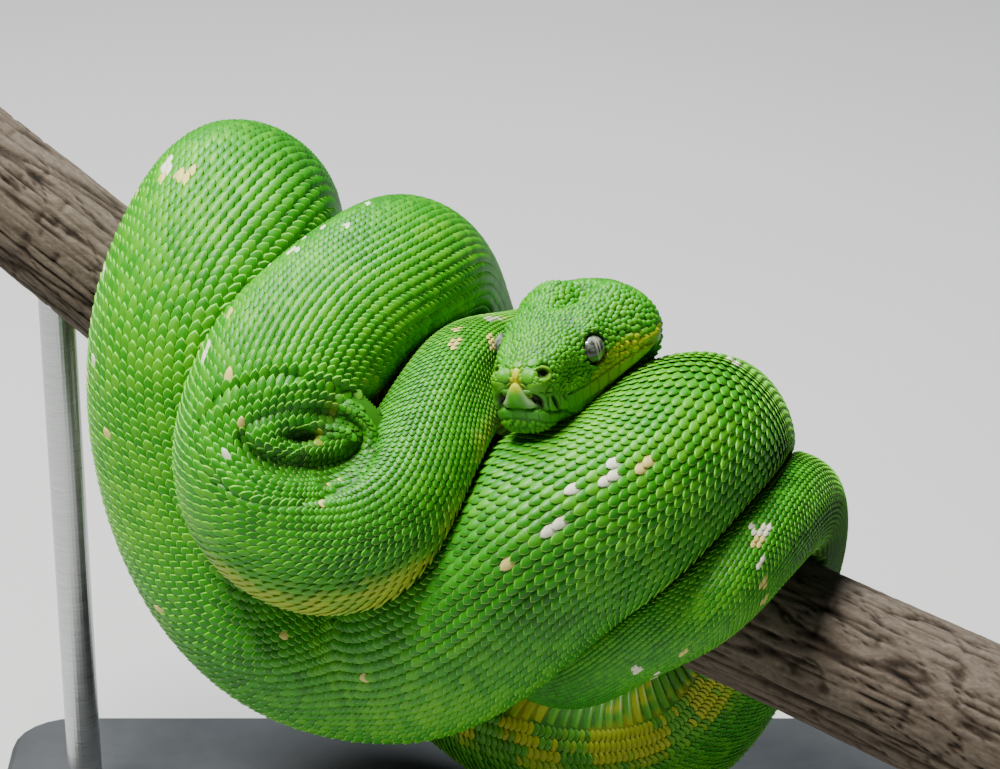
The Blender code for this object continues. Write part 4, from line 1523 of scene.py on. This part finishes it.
def fold_roots():
    """Places along rings round the pit, in the fold's plane, and the way along each ring."""
    found = []
    for number, short in enumerate(np.arange(0.5, 26, FOLD_ROW)):
        long = math.hypot(short, FOLD_FOCUS)
        turn = np.linspace(0, 2 * math.pi, 2000)
        x, y = long * np.cos(turn), short * np.sin(turn)
        y = np.where(y > 0, y / 1.3, y)
        run = running(np.hypot(np.diff(x), np.diff(y)))
        at = np.arange((number % 2) * FOLD_ALONG / 2, run[-1], FOLD_ALONG)
        ahead = at + 0.05
        first = np.stack((np.interp(at, run, x), np.interp(at, run, y)), axis=1)
        after = np.stack((np.interp(ahead, run, x), np.interp(ahead, run, y)), axis=1)
        found.append(np.concatenate((first, after - first), axis=1))
    return np.concatenate(found)


def make_fold_scales():
    roots = fold_roots()
    inside = fold_edge(roots[:, 0], roots[:, 1]) < FOLD_SHOWS
    inside &= fold_read(fold_slope, roots[:, 0], roots[:, 1]) < 1.5
    roots = roots[inside]
    x, y = roots[:, 0], roots[:, 1]
    points = fold_read(fold_points, x, y)
    tree = nearest_tree(fold_settled)
    free = np.array([tree.find(point)[2] > 1.0 for point in points])
    chosen = settled_roots(points, np.where(free, 1.15, 0.0), 0)
    x, y, points = x[chosen], y[chosen], points[chosen]
    heading = roots[chosen, 2:3] * FOLD_AXES[0] + roots[chosen, 3:4] * FOLD_AXES[1]
    out = unit(fold_read(fold_normals, x, y))
    heading = across(heading, out)
    way = np.sign(np.sum(heading * fold_read(fold_lie, x, y)))
    heading = unit(heading) * way
    grown = 1 + 0.12 * np.minimum(fold_read(fold_slope, x, y), 2.0)
    layer = {
        "at": points - heading * 0.5 * FOLD_ALONG,
        "outward": out,
        "tailward": heading,
        "size": np.stack((1.55 * grown, 1.65 * grown, 1.3 * grown), axis=1),
        "unwrap": np.stack((0.5 + x / 50, 0.5 + y / 50), axis=1),
        "yellow": np.full(len(x), 0.04),
        "pale": np.zeros(len(x)),
        # Painted shade in the fold's furrows and pit.
        "dark": FOLD_SHADE * fold_read(fold_shade, x, y),
    }
    form = scale_template("fold_form", SCALE_OUTLINE)
    lay_scales("fold_scales", form, layer, FOLD_SEED)
    bpy.data.objects.remove(form)
    print(len(chosen), "scales on the fold")


make_fold_skin()
make_fold_scales()

# %% [markdown]
# ## Lip plates and heat pits
# Larger plates edge both lips, with one broad plate at the tip of the muzzle. Deep pits, which
# sense heat, sink into the first upper plates and the rear lower ones. Each plate is a small
# grid of points: cast on to the head from inside, puffed out like a cushion, dented where it
# has a pit, with its edges tucked under the skin and closed behind.

# %% Casting rays on to the head
PLATE_ROWS, PLATE_COLUMNS = 13, 13
PLATE_RISE, PLATE_TUCK = 0.42, 0.30
LIP_CENTRE = 16.0


def head_surface():
    rings, faces = tube(len(head_points), HEAD_ANGLES)
    faces.append(tuple(reversed(rings[0])))
    places = to_head(head_points.reshape(-1, 3))
    return bvhtree.BVHTree.FromPolygons(places.tolist(), faces)


HEAD_SURFACE = head_surface()


def head_hit(turn, above_mouth):
    """The skin at a turn from straight ahead, this far above the mouth line, and its normal."""
    back = LIP_CENTRE * (1 - math.cos(turn))
    heading = Vector((-math.cos(turn), math.sin(turn), 0))
    for _ in range(4):
        rise = float(mouth_height(back)) + above_mouth
        place, normal, _, _ = HEAD_SURFACE.ray_cast(Vector((LIP_CENTRE, 0, rise)), heading)
        if place is None:
            return None
        back = place[0]
    if normal.dot(heading) < 0:
        normal = -normal
    return np.array(place), np.array(normal)


def lip_path(above_mouth, side, last_back):
    """Turns and running distance along a lip, from the snout to the corner of the mouth."""
    turns = np.linspace(0, math.radians(150), 320)
    places, kept = [], []
    for turn in turns:
        hit = head_hit(side * turn, above_mouth)
        if hit is None or hit[0][0] > last_back:
            break
        places.append(hit[0])
        kept.append(turn)
    return np.array(kept), running(np.linalg.norm(np.diff(places, axis=0), axis=1))


# %% Shaping the plates
def unit_grid():
    return np.meshgrid(
        np.linspace(0, 1, PLATE_ROWS), np.linspace(0, 1, PLATE_COLUMNS), indexing="ij"
    )


def border(grid):
    """The numbers round the edge of a grid of numbers, in order."""
    return [*grid[0], *grid[1:, -1], *grid[-1, -2::-1], *grid[-2:0:-1, 0]]


def lay_bake(mesh, places):
    """Gives the mesh its map for baking, from one place on the map for each point."""
    layer = mesh.uv_layers.new(name="OFBake")
    corners = np.array([loop.vertex_index for loop in mesh.loops])
    layer.data.foreach_set("uv", np.asarray(places, np.float32)[corners].ravel())


def cushion(u, v, sharpness=6):
    """How full a plate is: 1 over the middle, 0 at its edges."""
    return (1 - np.abs(2 * u - 1) ** sharpness) * (1 - np.abs(2 * v - 1) ** sharpness)


class Plates:
    """Gathers plates, each a closed patch, into one mesh with the coat's attributes."""

    def __init__(self):
        self.points, self.faces, self.unwrap = [], [], []
        self.marks = {"yellow": [], "pale": [], "dark": [], "rim": [], "tone": []}

    def add(self, places, normals, marks, relief=None, rise=PLATE_RISE, tone=0.5, sharp=6):
        """One plate from grids of skin places, outward normals and per-point marks."""
        v, u = unit_grid()
        full = cushion(u, v, sharp)
        lift = rise * full - PLATE_TUCK * min(1.0, rise / 0.3) * (1 - full) ** 3
        deep = PLATE_TUCK + 0.35
        if relief is not None:
            lift = lift - relief
            deep += float(np.max(relief))
        top = places + normals * lift[..., None]
        grid = np.arange(u.size).reshape(u.shape)
        edge = border(grid)
        low = places - normals * deep
        start = len(self.points)
        self.points += [*top.reshape(-1, 3), *low.reshape(-1, 3)[edge]]
        under = [u.size + k for k in range(len(edge))]
        quads = [
            (grid[i, j], grid[i, j + 1], grid[i + 1, j + 1], grid[i + 1, j])
            for i in range(PLATE_ROWS - 1)
            for j in range(PLATE_COLUMNS - 1)
        ]
        quads += [*strip(under, edge), tuple(reversed(under))]
        if np.dot(np.cross(top[1, 0] - top[0, 0], top[0, 1] - top[0, 0]), normals[0, 0]) > 0:
            quads = [reversed(face) for face in quads]
        self.faces += [tuple(int(k) + start for k in face) for face in quads]
        for key in ("yellow", "pale", "dark"):
            flat = np.broadcast_to(marks.get(key, 0.0), u.shape).ravel()
            self.marks[key] += [*flat, *flat[edge]]
        self.marks["rim"] += [*(0.12 * (1 - full) ** 1.5).ravel(), *np.zeros(len(edge))]
        self.marks["tone"] += [tone] * (u.size + len(edge))
        middle = places[PLATE_ROWS // 2, PLATE_COLUMNS // 2]
        root = np.array((0.5 + middle[1] / 60, 0.1 + middle[0] / 60 + 0.2 * (middle[2] < -5)))
        patch = root + (np.stack((u, v), axis=-1).reshape(-1, 2) - 0.5) * BAKE_PATCH
        self.unwrap += [*patch, *patch[edge]]

    def finish(self, name):
        mesh = mesh_from(name, from_head(np.array(self.points)), self.faces)
        for key, values in self.marks.items():
            store(mesh, key, np.clip(values, 0, 1))
        lay_bake(mesh, self.unwrap)
        finish_piece(name, mesh, scaly, "scaled_skin")


def lip_grid(turns, low, high, side, lean):
    """Skin places and normals over a stretch of lip between two heights at each end."""
    places = np.zeros((PLATE_ROWS, PLATE_COLUMNS, 3))
    normals = np.zeros_like(places)
    for j, share in enumerate(np.linspace(0, 1, PLATE_COLUMNS)):
        for i, part in enumerate(np.linspace(0, 1, PLATE_ROWS)):
            turn = turns[0] * (1 - lean * part) * (1 - share) + turns[1] * share
            above = (1 - part) * low + part * (high[0] * (1 - share) + high[1] * share)
            places[i, j], normals[i, j] = head_hit(side * turn, above)
    return places, normals


def pit(u, v, at, size, lean, depth):
    """A slanted oval pit in a plate: how deep it is at each place of the plate."""
    x, y = u - at[0], v - at[1]
    along, over = x * math.cos(lean) + y * math.sin(lean), y * math.cos(lean) - x * math.sin(lean)
    return depth * hump(np.hypot(along / size[0], over / size[1]), 1.0, 4)


# %% Upper and lower lips
# Width along the lip, height at the plate's two ends, and a pit: place, size, lean, depth.
UPPER_PLATES = (
    (3.1, 4.2, 4.3, ((0.42, 0.42), (0.32, 0.33), 1.6, 1.7)),
    (3.3, 4.3, 4.2, ((0.56, 0.50), (0.42, 0.15), -1.0, 1.7)),
    (2.6, 4.2, 3.6, ((0.50, 0.80), (0.26, 0.12), -0.7, 0.6)),
    (2.4, 3.2, 3.1, None), (2.5, 3.1, 3.1, None), (2.6, 3.1, 3.1, None),
    (2.7, 3.1, 3.1, None), (2.8, 3.1, 3.2, None), (2.9, 3.2, 3.3, None),
    (3.0, 3.3, 3.3, None), (3.0, 3.3, 3.1, None), (3.0, 3.1, 2.6, None),
)
LOWER_PLATES = (
    (2.6, 2.3, 2.3, None), (2.6, 2.3, 2.3, None), (2.7, 2.3, 2.3, None),
    (2.7, 2.3, 2.4, None), (2.8, 2.4, 2.4, None), (2.9, 2.4, 2.5, None),
    (3.0, 2.5, 2.6, ((0.5, 0.45), (0.22, 0.28), 0.3, 0.9)),
    (3.0, 2.6, 2.6, ((0.5, 0.45), (0.24, 0.32), 0.3, 1.1)),
    (3.0, 2.6, 2.6, ((0.5, 0.45), (0.26, 0.34), 0.3, 1.2)),
    (3.0, 2.6, 2.5, ((0.5, 0.45), (0.26, 0.34), 0.3, 1.2)),
    (2.8, 2.4, 2.2, None),
)
ROSTRAL_HALF, MENTAL_HALF = 3.5, 1.5


def lip_marks(places, upper, pitted):
    back = places[..., 0]
    behind = smooth_step((back - 8) / 12)
    if upper:
        yellow = 0.20 + 0.40 * behind
    else:
        yellow = 0.06 + 0.30 * smooth_step((back - 16) / 6)
    # Painted shade in the heat pits, darker where they are deeper.
    dark = np.clip(1.3 * pitted, 0, 0.97)
    return {"yellow": yellow, "pale": 0.02, "dark": dark}


def add_lip(plates, table, first, side, upper):
    level = 1.2 if upper else -1.2
    turns, run = lip_path(level, side, 36.5)
    start = first
    v, u = unit_grid()
    for number, (wide, tall, tall_end, hollow) in enumerate(table):
        end = start + wide
        if end > run[-1]:
            break
        ends = np.interp((start - 0.05, end + 0.05), run, turns)
        low, high = (-0.22, (tall, tall_end)) if upper else (0.20, (-tall, -tall_end))
        lean = 0.72 if upper and number == 0 else 0.0
        places, normals = lip_grid(ends, low, high, side, lean)
        relief = pit(u, v, *hollow) if hollow else np.zeros(u.shape)
        marks = lip_marks(places, upper, relief / 1.2)
        rise, sharp = (0.34, 9) if upper else (0.10, 14)
        plates.add(places, normals, marks, relief, rise, 0.22 + 0.12 * (number % 3) / 2, sharp)
        start = end


# %% The tip of the muzzle
NASAL_PADS = (
    # back, aside, rise, half width, half height, yellow
    (1.5, 4.5, 1.2, 2.4, 1.3, 0.28),
    (1.5, 2.7, 3.2, 1.7, 1.7, 0.24),
    (3.6, 3.1, 5.4, 1.6, 1.1, 0.14),
    (1.6, 0.0, 3.5, 0.85, 1.4, 0.72),
    (2.6, 0.0, 5.2, 1.3, 0.9, 0.30),
)
NOSTRIL_HOLE = ((0.54, 0.52), (0.37, 0.30))
SLIT_AT, SLIT_TURN, SLIT_HOLE = (0.3, 1.9, 0.5), -0.62, ((0.5, 0.5), (0.34, 0.42))


def front_patch(aside, rise):
    """The skin straight ahead of a grid of places inside the muzzle, and its normals."""
    places, normals = np.zeros((*rise.shape, 3)), np.zeros((*rise.shape, 3))
    for index in np.ndindex(rise.shape):
        start = Vector((LIP_CENTRE, aside[index], rise[index]))
        place, normal, _, _ = HEAD_SURFACE.ray_cast(start, Vector((-1, 0, 0)))
        places[index], normals[index] = place, normal if normal[0] < 0 else -normal
    return places, normals


def oval_patch(centre, normal, level, upright, half):
    """The skin under an oval grid across a small plate, and the plate's own normal for each."""
    v, u = unit_grid()
    x, y = 2 * u - 1, 2 * v - 1
    x, y = half[0] * x * np.sqrt(1 - y**2 / 2), half[1] * y * np.sqrt(1 - x**2 / 2)
    places = np.zeros((*u.shape, 3))
    for index in np.ndindex(u.shape):
        start = centre + normal * 2 + level * x[index] + upright * y[index]
        places[index] = HEAD_SURFACE.ray_cast(Vector(start), Vector(-normal))[0]
    return places, np.broadcast_to(normal, places.shape)


def add_rostral(plates):
    """The three-sided plate at the tip, with a slit each side and the tongue's notch below."""
    v, u = unit_grid()
    low, tall = float(mouth_height(0.0)) - 0.2, 5.6
    half = 3.5 * (1 - v) ** 0.85 + 0.35
    places, normals = front_patch((2 * u - 1) * half, low + tall * v)
    notch = pit(u, v, (0.5, 0.02), (0.10, 0.10), 0.0, 0.7)
    ridge = 0.35 * hump(2 * u - 1, 0.5) * smooth_step((v - 0.1) / 0.4)
    marks = {
        "yellow": 0.12 + 0.62 * smooth_step((v - 0.50) / 0.35),
        "pale": 0.30 * hump(np.abs(2 * u - 1) - 0.85, 0.3) * (1 - smooth_step((v - 0.5) / 0.4)),
        # Painted shade in the tongue's notch.
        "dark": np.clip(1.2 * notch, 0, 0.95),
    }
    plates.add(places, normals, marks, notch - ridge, 0.55, 0.35, 10)


def add_mental(plates):
    """The small plate at the tip of the lower lip."""
    v, u = unit_grid()
    top = float(mouth_height(0.0)) + 0.15
    places, normals = front_patch((2 * u - 1) * (MENTAL_HALF + 0.1), top - 2.4 * v)
    plates.add(places, normals, {"yellow": 0.06, "pale": 0.02}, None, 0.10, 0.25, 14)


def add_pad(plates, pad, side):
    """A rounded plate laid on the skin nearest to a place."""
    back, aside, rise, half_wide, half_tall, yellow = pad
    centre, normal, _, _ = HEAD_SURFACE.find_nearest(Vector((back, side * aside, rise)))
    centre, normal = np.array(centre), np.array(normal)
    if normal @ (centre - (12, 0, 0)) < 0:
        normal = -normal
    level = unit(np.cross((0.0, 0.0, 1.0), normal))
    patch = oval_patch(centre, normal, level, np.cross(normal, level), (half_wide, half_tall))
    plates.add(*patch, {"yellow": yellow}, None, 0.40, 0.2)


def add_opening(plates, at, side, half, turn, hole, depth, yellow):
    """A small oval plate with a hole in it: the nostril, or a slit beside the tip's plate."""
    v, u = unit_grid()
    centre = np.array(HEAD_SURFACE.find_nearest(Vector(np.array(at) * (1, side, 1)))[0])
    normal = unit(centre - (9.0, side * 1.0, 0.5))
    level = unit(np.cross((0.0, 0.0, 1.0), normal)) * side
    upright = np.cross(normal, level) * side
    level, upright = (
        level * math.cos(turn) + upright * math.sin(turn),
        upright * math.cos(turn) - level * math.sin(turn),
    )
    patch = oval_patch(centre, normal, level, upright, half)
    opened = pit(u, v, *hole, 0.0, 1.0)
    # The hole is darkened with painted shade.
    plates.add(*patch, {"yellow": yellow, "dark": 0.97 * opened}, depth * opened, 0.42, 0.2)


plates = Plates()
add_rostral(plates)
add_mental(plates)
for lip_side in (1, -1):
    add_lip(plates, UPPER_PLATES, ROSTRAL_HALF, lip_side, True)
    add_lip(plates, LOWER_PLATES, MENTAL_HALF, lip_side, False)
    add_opening(plates, NOSTRIL_AT, lip_side, (2.3, 1.8), 0.15, NOSTRIL_HOLE, 1.6, 0.35)
    add_opening(plates, SLIT_AT, lip_side, (0.75, 1.9), SLIT_TURN, SLIT_HOLE, 0.9, 0.45)
    for pad in NASAL_PADS:
        # A pad on the middle line is laid only once.
        if lip_side > 0 or pad[1] > 0:
            add_pad(plates, pad, lip_side)
plates.finish("lip_plates")

# %% [markdown]
# ## The eyes
# Each eye is a ball turned so that its own axis looks out of the socket. The ball's own
# coordinates are stored on it, and the material draws the iris from them: silver grey, marbled
# in streaks that run out from an upright slit, with a pale edge along the slit and a dark ring
# at the rim. A clear coat makes it shine.

# %% Eyes
EYE_FACING = unit(np.array((-0.46, 0.86, 0.20)))


def eye_material():
    look, tree, shader = new_material("silver_eye")
    upright = attribute(tree, "upright")
    squared = math_node(tree, "MULTIPLY", upright, upright)
    bowed = math_node(tree, "MULTIPLY", squared, 0.18)
    from_slit = math_node(tree, "ABSOLUTE", math_node(tree, "ADD", attribute(tree, "aside"), bowed))
    from_slit = math_node(tree, "ADD", from_slit, math_node(tree, "MULTIPLY", squared, 0.10))
    streaks = noise_at(tree, 1500, 4, 0.65, (1.0, 1.0, 0.35))
    cloud = noise_at(tree, 420, 3, 0.6)
    mixed = math_node(tree, "MULTIPLY", math_node(tree, "ADD", streaks, cloud), 0.5)
    dark, grey, silver = (0.010, 0.012, 0.008), (0.045, 0.052, 0.04), (0.22, 0.25, 0.21)
    shade = math_node(tree, "ADD", mixed, math_node(tree, "MULTIPLY", upright, 0.17))
    colour = ramp(tree, shade, ((0.40, dark), (0.52, grey), (0.66, silver)))
    edge = ramp(tree, from_slit, ((0.05, (1, 1, 1)), (0.13, (0.7, 0.7, 0.7)), (0.24, (0, 0, 0))))
    colour = blend(tree, math_node(tree, "MULTIPLY", edge, 0.65), colour, (0.50, 0.52, 0.36))
    slit = ramp(tree, from_slit, ((0.04, (1, 1, 1)), (0.065, (0, 0, 0))))
    colour = blend(tree, slit, colour, (0.004, 0.004, 0.004))
    rim = ramp(tree, attribute(tree, "iris"), ((0.74, (0, 0, 0)), (0.90, (1, 1, 1))))
    colour = blend(tree, math_node(tree, "MULTIPLY", rim, 0.93), colour, (0.012, 0.014, 0.008))
    tree.links.new(colour, shader.inputs["Base Color"])
    shader.inputs["Roughness"].default_value = 0.25
    shader.inputs["Coat Weight"].default_value = 1.0
    shader.inputs["Coat Roughness"].default_value = 0.03
    bump(tree, shader, streaks, 0.15, 0.00005)
    return look


def make_eye(name, side, look):
    facing = EYE_FACING * (1, side, 1)
    level = unit(np.cross((0.0, 0.0, 1.0), facing))
    axes = np.stack((level, np.cross(facing, level), facing))
    bm = bmesh.new()
    bmesh.ops.create_uvsphere(bm, u_segments=48, v_segments=32, radius=1.0)
    mesh = bpy.data.meshes.new(name)
    bm.to_mesh(mesh)
    bm.free()
    ball = np.array([vertex.co for vertex in mesh.vertices])
    centre = EYE_AT * (1, side, 1)
    placed = (from_head(centre + ball @ axes * EYE_RADIUS) + COILS_AT) * MM
    mesh.vertices.foreach_set("co", placed.astype(np.float32).ravel())
    mesh.shade_smooth()
    store(mesh, "iris", np.where(ball[:, 2] > 0, np.hypot(ball[:, 0], ball[:, 1]), 1.0))
    store(mesh, "aside", ball[:, 0] * side)
    store(mesh, "upright", ball[:, 1])
    finish_piece(name, mesh, look, "eye", "eye_left" if side > 0 else "eye_right")


silver_eye = eye_material()
make_eye("left_eye_ball", 1, silver_eye)
make_eye("right_eye_ball", -1, silver_eye)

# %% [markdown]
# ## Belly shields
# Under the body the small scales give way to one row of wide shields, each a curved plate
# across the belly, with its rear edge free. They are drawn straight on the body's grid: a strip
# of points across, a lift that grows towards the tail, and a closed back.

# %% Shields
SHIELD_ACROSS, SHIELD_ALONG = 11, 4
# Steps of the small rows to each shield, and how much longer it is, to lie over the next.
SHIELD_STEPS, SHIELD_OVERLAP = 2.3, 1.3
SHIELD_SEED = 5


def shield_places():
    places = [COAT_FROM + 2.0]
    while places[-1] < snake.length - 6:
        places.append(places[-1] + SHIELD_STEPS * float(step_at(places[-1])))
    return np.array(places)


def make_shields():
    starts = shield_places()
    lengths = SHIELD_STEPS * step_at(starts) * SHIELD_OVERLAP
    v, u = np.meshgrid(
        np.linspace(0, 1, SHIELD_ALONG), np.linspace(-1, 1, SHIELD_ACROSS), indexing="ij"
    )
    rounded = v * (1 - 0.22 * u**2)
    place = starts[:, None, None] + lengths[:, None, None] * rounded
    angle = math.pi + (BELLY_HALF + math.radians(3.5)) * u
    angle = np.broadcast_to(angle, place.shape)
    at = body.read(body.points, place, angle)
    out = body.read(body.normals, place, angle)
    lift = 0.30 * v * (1 - u**8) - 0.22 * (1 - v) ** 2 - 0.25 * np.abs(u) ** 8
    top = at + out * (lift * (0.5 + 0.03 * snake.radius_at(place)))[..., None]
    low = at - out * 0.28
    yellow, pale = body_marks(place[:, 1:2, :], angle[:, 1:2, :], at[:, 1:2, :])
    count = SHIELD_ACROSS * SHIELD_ALONG
    grid = np.arange(count).reshape(SHIELD_ALONG, SHIELD_ACROSS)
    edge = border(grid)
    quads = [
        (grid[i, j], grid[i + 1, j], grid[i + 1, j + 1], grid[i, j + 1])
        for i in range(SHIELD_ALONG - 1)
        for j in range(SHIELD_ACROSS - 1)
    ]
    under = [count + k for k in range(len(edge))]
    quads += [*strip(edge, under), tuple(under)]
    each = count + len(edge)
    points, faces = [], []
    for number in range(len(starts)):
        points += [top[number].reshape(-1, 3), low[number].reshape(-1, 3)[edge]]
        faces += [tuple(int(k) + number * each for k in face) for face in quads]
    mesh = mesh_from("belly_shields", np.concatenate(points), faces)
    rng = np.random.default_rng(SHIELD_SEED)
    rim = np.where(v > 0.99, 0.8, 0.0)
    tone = rng.random((len(starts), 1, 1))
    marks = {"yellow": yellow, "pale": pale, "dark": 0.0, "rim": rim, "tone": tone}
    for key, values in marks.items():
        flat = np.clip(np.broadcast_to(values, place.shape), 0, 1).reshape(len(starts), count)
        store(mesh, key, np.concatenate((flat, flat[:, edge]), axis=1))
    middle = starts + lengths / 2
    root = np.stack(((middle - COAT_FROM) / snake.length, np.full(len(starts), 0.5)), axis=-1)
    patch = (np.stack((u, v), axis=-1).reshape(-1, 2) - (0, 0.5)) * (BAKE_PATCH / 2, BAKE_PATCH)
    patch = np.concatenate((patch, patch[edge]))
    lay_bake(mesh, (root[:, None] + patch[None]).reshape(-1, 2))
    finish_piece("belly_shields", mesh, scaly, "scaled_skin")
    print(len(starts), "shields")


make_shields()

# %% [markdown]
# ## The perch
# A weathered branch: bark in long furrowed ridges that split and join, cracks across them,
# and clean sawn ends. The bark's relief is real, made by moving each point of a
# fine tube out or in by ridged noise, and the same numbers are kept as attributes, so that the
# furrows are also darker.
# The near black in the furrows is painted shade; the brown and the weathered grey on the crests are
# the bark's own.

# %% Bark
BARK_ANGLES, BARK_STEP = 200, 1.1
BARK_DEPTH = 1.25


def branch_line():
    rows = [(*place, radius) for place, radius in BRANCH]
    line, run = evenly_spaced(catmull_rom(rows), BARK_STEP)
    return line[:, :3], line[:, 3], run


def bark_relief(run, around, radius):
    """Ridges from 0 in the furrows to 1 on the crests, and how weathered each place is."""
    ridges, worn = np.zeros(run.shape), np.zeros(run.shape)
    x, y = np.cos(around) * radius, np.sin(around) * radius
    for index in np.ndindex(run.shape):
        place = Vector((run[index] * 0.024, x[index] * 0.38, y[index] * 0.38))
        drift = noise.noise(Vector((run[index] * 0.035, x[index] * 0.05, 7)))
        bent = place + Vector((0, 1, 1)) * 0.8 * drift
        coarse = 1 - abs(noise.noise(bent)) * 2.4
        fine = 1 - abs(noise.noise(bent * 2.7 + Vector((9, 0, 0)))) * 2.2
        crack = abs(noise.noise(Vector((run[index] * 0.16, x[index] * 0.10, y[index] * 0.10 + 30))))
        grain = noise.noise(Vector((run[index] * 0.35, x[index] * 1.6, y[index] * 1.6)))
        furrow = max(0.0, 1 - max(coarse, 0) ** 6) * 0.62 + max(0.0, 1 - max(fine, 0) ** 5) * 0.26
        split = smooth_step((0.035 - crack) / 0.03) * 0.35
        ridges[index] = furrow + 0.10 * grain - split
        worn[index] = noise.noise(Vector((run[index] * 0.03, x[index] * 0.06, y[index] * 0.06)))
    return np.clip(ridges, 0, 1), 0.5 + 0.5 * worn


def make_bark(look, cut_look):
    line, radius, run = branch_line()
    heading = unit(np.gradient(line, axis=0))
    across_up = across(np.tile((0.0, 0.0, 1.0), (len(line), 1)), heading)
    aside = np.cross(heading, across_up)
    grid_run, grid_around = np.meshgrid(run, full_turn(BARK_ANGLES), indexing="ij")
    ridges, worn = bark_relief(grid_run, grid_around, radius[:, None])
    oval = 1 + 0.03 * np.cos(2 * grid_around + 0.02 * grid_run)
    reach = radius[:, None] * oval + BARK_RELIEF - BARK_DEPTH * (1 - ridges)
    rays = np.cos(grid_around)[..., None] * across_up[:, None]
    rays = rays + np.sin(grid_around)[..., None] * aside[:, None]
    points = line[:, None] + rays * reach[..., None]
    rows, faces = tube(len(line), BARK_ANGLES)
    flat, extra, bark_faces = points.reshape(-1, 3), [], len(faces)
    for end, row, turn in ((0, rows[0], True), (-1, rows[-1], False)):
        inner = flat[row] * 0.97 + line[end] * 0.03
        start = len(flat) + len(extra)
        extra += [*inner, line[end]]
        ring = list(range(start, start + BARK_ANGLES))
        cap = strip(row, ring)
        cap += [(*pair, start + BARK_ANGLES) for pair in zip(ring, ring[1:] + ring[:1])]
        faces += [tuple(reversed(face)) for face in cap] if turn else cap
    mesh = mesh_from("perch_bark", np.concatenate((flat, extra)), faces)
    store(mesh, "height", np.concatenate((ridges.ravel(), np.full(len(extra), 0.6))))
    store(mesh, "worn", np.concatenate((worn.ravel(), np.full(len(extra), 0.5))))
    from_pith = np.tile([*np.ones(BARK_ANGLES), 0.0], 2)
    store(mesh, "from_pith", np.concatenate((np.ones(len(flat)), from_pith)))
    finish_piece("perch_bark", mesh, look, "bark", "perch_branch")
    mesh.materials.append(cut_look)
    for face in list(mesh.polygons)[bark_faces:]:
        face.material_index = 1
        face.use_smooth = False


def bark_material():
    look, tree, shader = new_material("weathered_bark")
    fibres = noise_at(tree, 260, 6, 0.62, (0.22, 1.0, 1.0))
    specks = noise_at(tree, 900, 3, 0.6)
    deep, brown, grey = (0.008, 0.005, 0.003), (0.052, 0.036, 0.024), (0.15, 0.12, 0.092)
    fibre_height = math_node(tree, "MULTIPLY", fibres, 0.5)
    height = math_node(tree, "ADD", attribute(tree, "height"), fibre_height)
    height = math_node(tree, "SUBTRACT", height, 0.25)
    # Near black in the furrows is painted shade; brown and weathered grey higher up are the bark's
    # own colours.
    colour = ramp(tree, height, ((0.12, deep), (0.52, brown), (0.95, grey)))
    moss = ramp(tree, attribute(tree, "worn"), ((0.55, (0, 0, 0)), (0.72, (1, 1, 1))))
    colour = blend(tree, math_node(tree, "MULTIPLY", moss, 0.25), colour, (0.10, 0.078, 0.055))
    dirt = ramp(tree, specks, ((0.3, (0.62, 0.60, 0.58)), (0.7, (1.0, 1.0, 1.0))))
    colour = blend(tree, 0.7, colour, dirt, "MULTIPLY")
    tree.links.new(colour, shader.inputs["Base Color"])
    shader.inputs["Roughness"].default_value = 0.86
    shader.inputs["Specular IOR Level"].default_value = 0.25
    bump(tree, shader, fibres, 0.7, 0.0007)
    return look


def sawn_material():
    """Growth rings round the branch's middle, and pale fresh wood."""
    look, tree, shader = new_material("sawn_wood")
    waves = math_node(tree, "MULTIPLY", attribute(tree, "from_pith"), 75.0)
    waves = math_node(tree, "ADD", waves, math_node(tree, "MULTIPLY", noise_at(tree, 60, 2), 12.0))
    rings = math_node(tree, "SINE", waves)
    colour = ramp(tree, rings, ((0.1, (0.42, 0.28, 0.15)), (0.8, (0.60, 0.44, 0.27))))
    grain = ramp(tree, noise_at(tree, 700, 4), ((0.3, (0.75, 0.72, 0.70)), (0.7, (1.0, 1.0, 1.0))))
    tree.links.new(blend(tree, 0.8, colour, grain, "MULTIPLY"), shader.inputs["Base Color"])
    shader.inputs["Roughness"].default_value = 0.8
    return look


make_bark(bark_material(), sawn_material())

# %% [markdown]
# ## The stand
# The base and rods already have their true shapes as solids, so they keep them. They only need
# better surfaces: a satin dark paint with a faint orange-peel texture, and brushed steel whose
# streaks run round the rods.

# %% Paint and steel
def paint_material():
    look, tree, shader = new_material("satin_paint")
    greys = ((0.3, (0.040, 0.042, 0.045)), (0.7, (0.052, 0.054, 0.058)))
    colour = ramp(tree, noise_at(tree, 40, 3), greys)
    tree.links.new(colour, shader.inputs["Base Color"])
    dull = ramp(tree, noise_at(tree, 120, 4), ((0.3, (0.42, 0.42, 0.42)), (0.7, (0.52, 0.52, 0.52))))
    tree.links.new(dull, shader.inputs["Roughness"])
    bump(tree, shader, noise_at(tree, 1800, 2), 0.12, 0.0002)
    return look


def steel_material():
    look, tree, shader = new_material("brushed_steel")
    streaks = noise_at(tree, 900, 5, 0.6, (0.15, 0.15, 2.2))
    colour = ramp(tree, streaks, ((0.3, (0.42, 0.43, 0.44)), (0.7, (0.58, 0.59, 0.60))))
    tree.links.new(colour, shader.inputs["Base Color"])
    shader.inputs["Metallic"].default_value = 1.0
    dull = ramp(tree, streaks, ((0.3, (0.26, 0.26, 0.26)), (0.7, (0.40, 0.40, 0.40))))
    tree.links.new(dull, shader.inputs["Roughness"])
    bump(tree, shader, streaks, 0.15, 0.0001)
    return look


def dress(name, look):
    """A new surface for a part whose solid is already the right shape."""
    part = bpy.data.objects[name]
    for slot in part.material_slots:
        slot.link = "OBJECT"
        slot.material = look


dress("stand_base", paint_material())
steel = steel_material()
for rod in ("stand_rod_left", "stand_rod_right"):
    dress(rod, steel)
print("stand dressed")
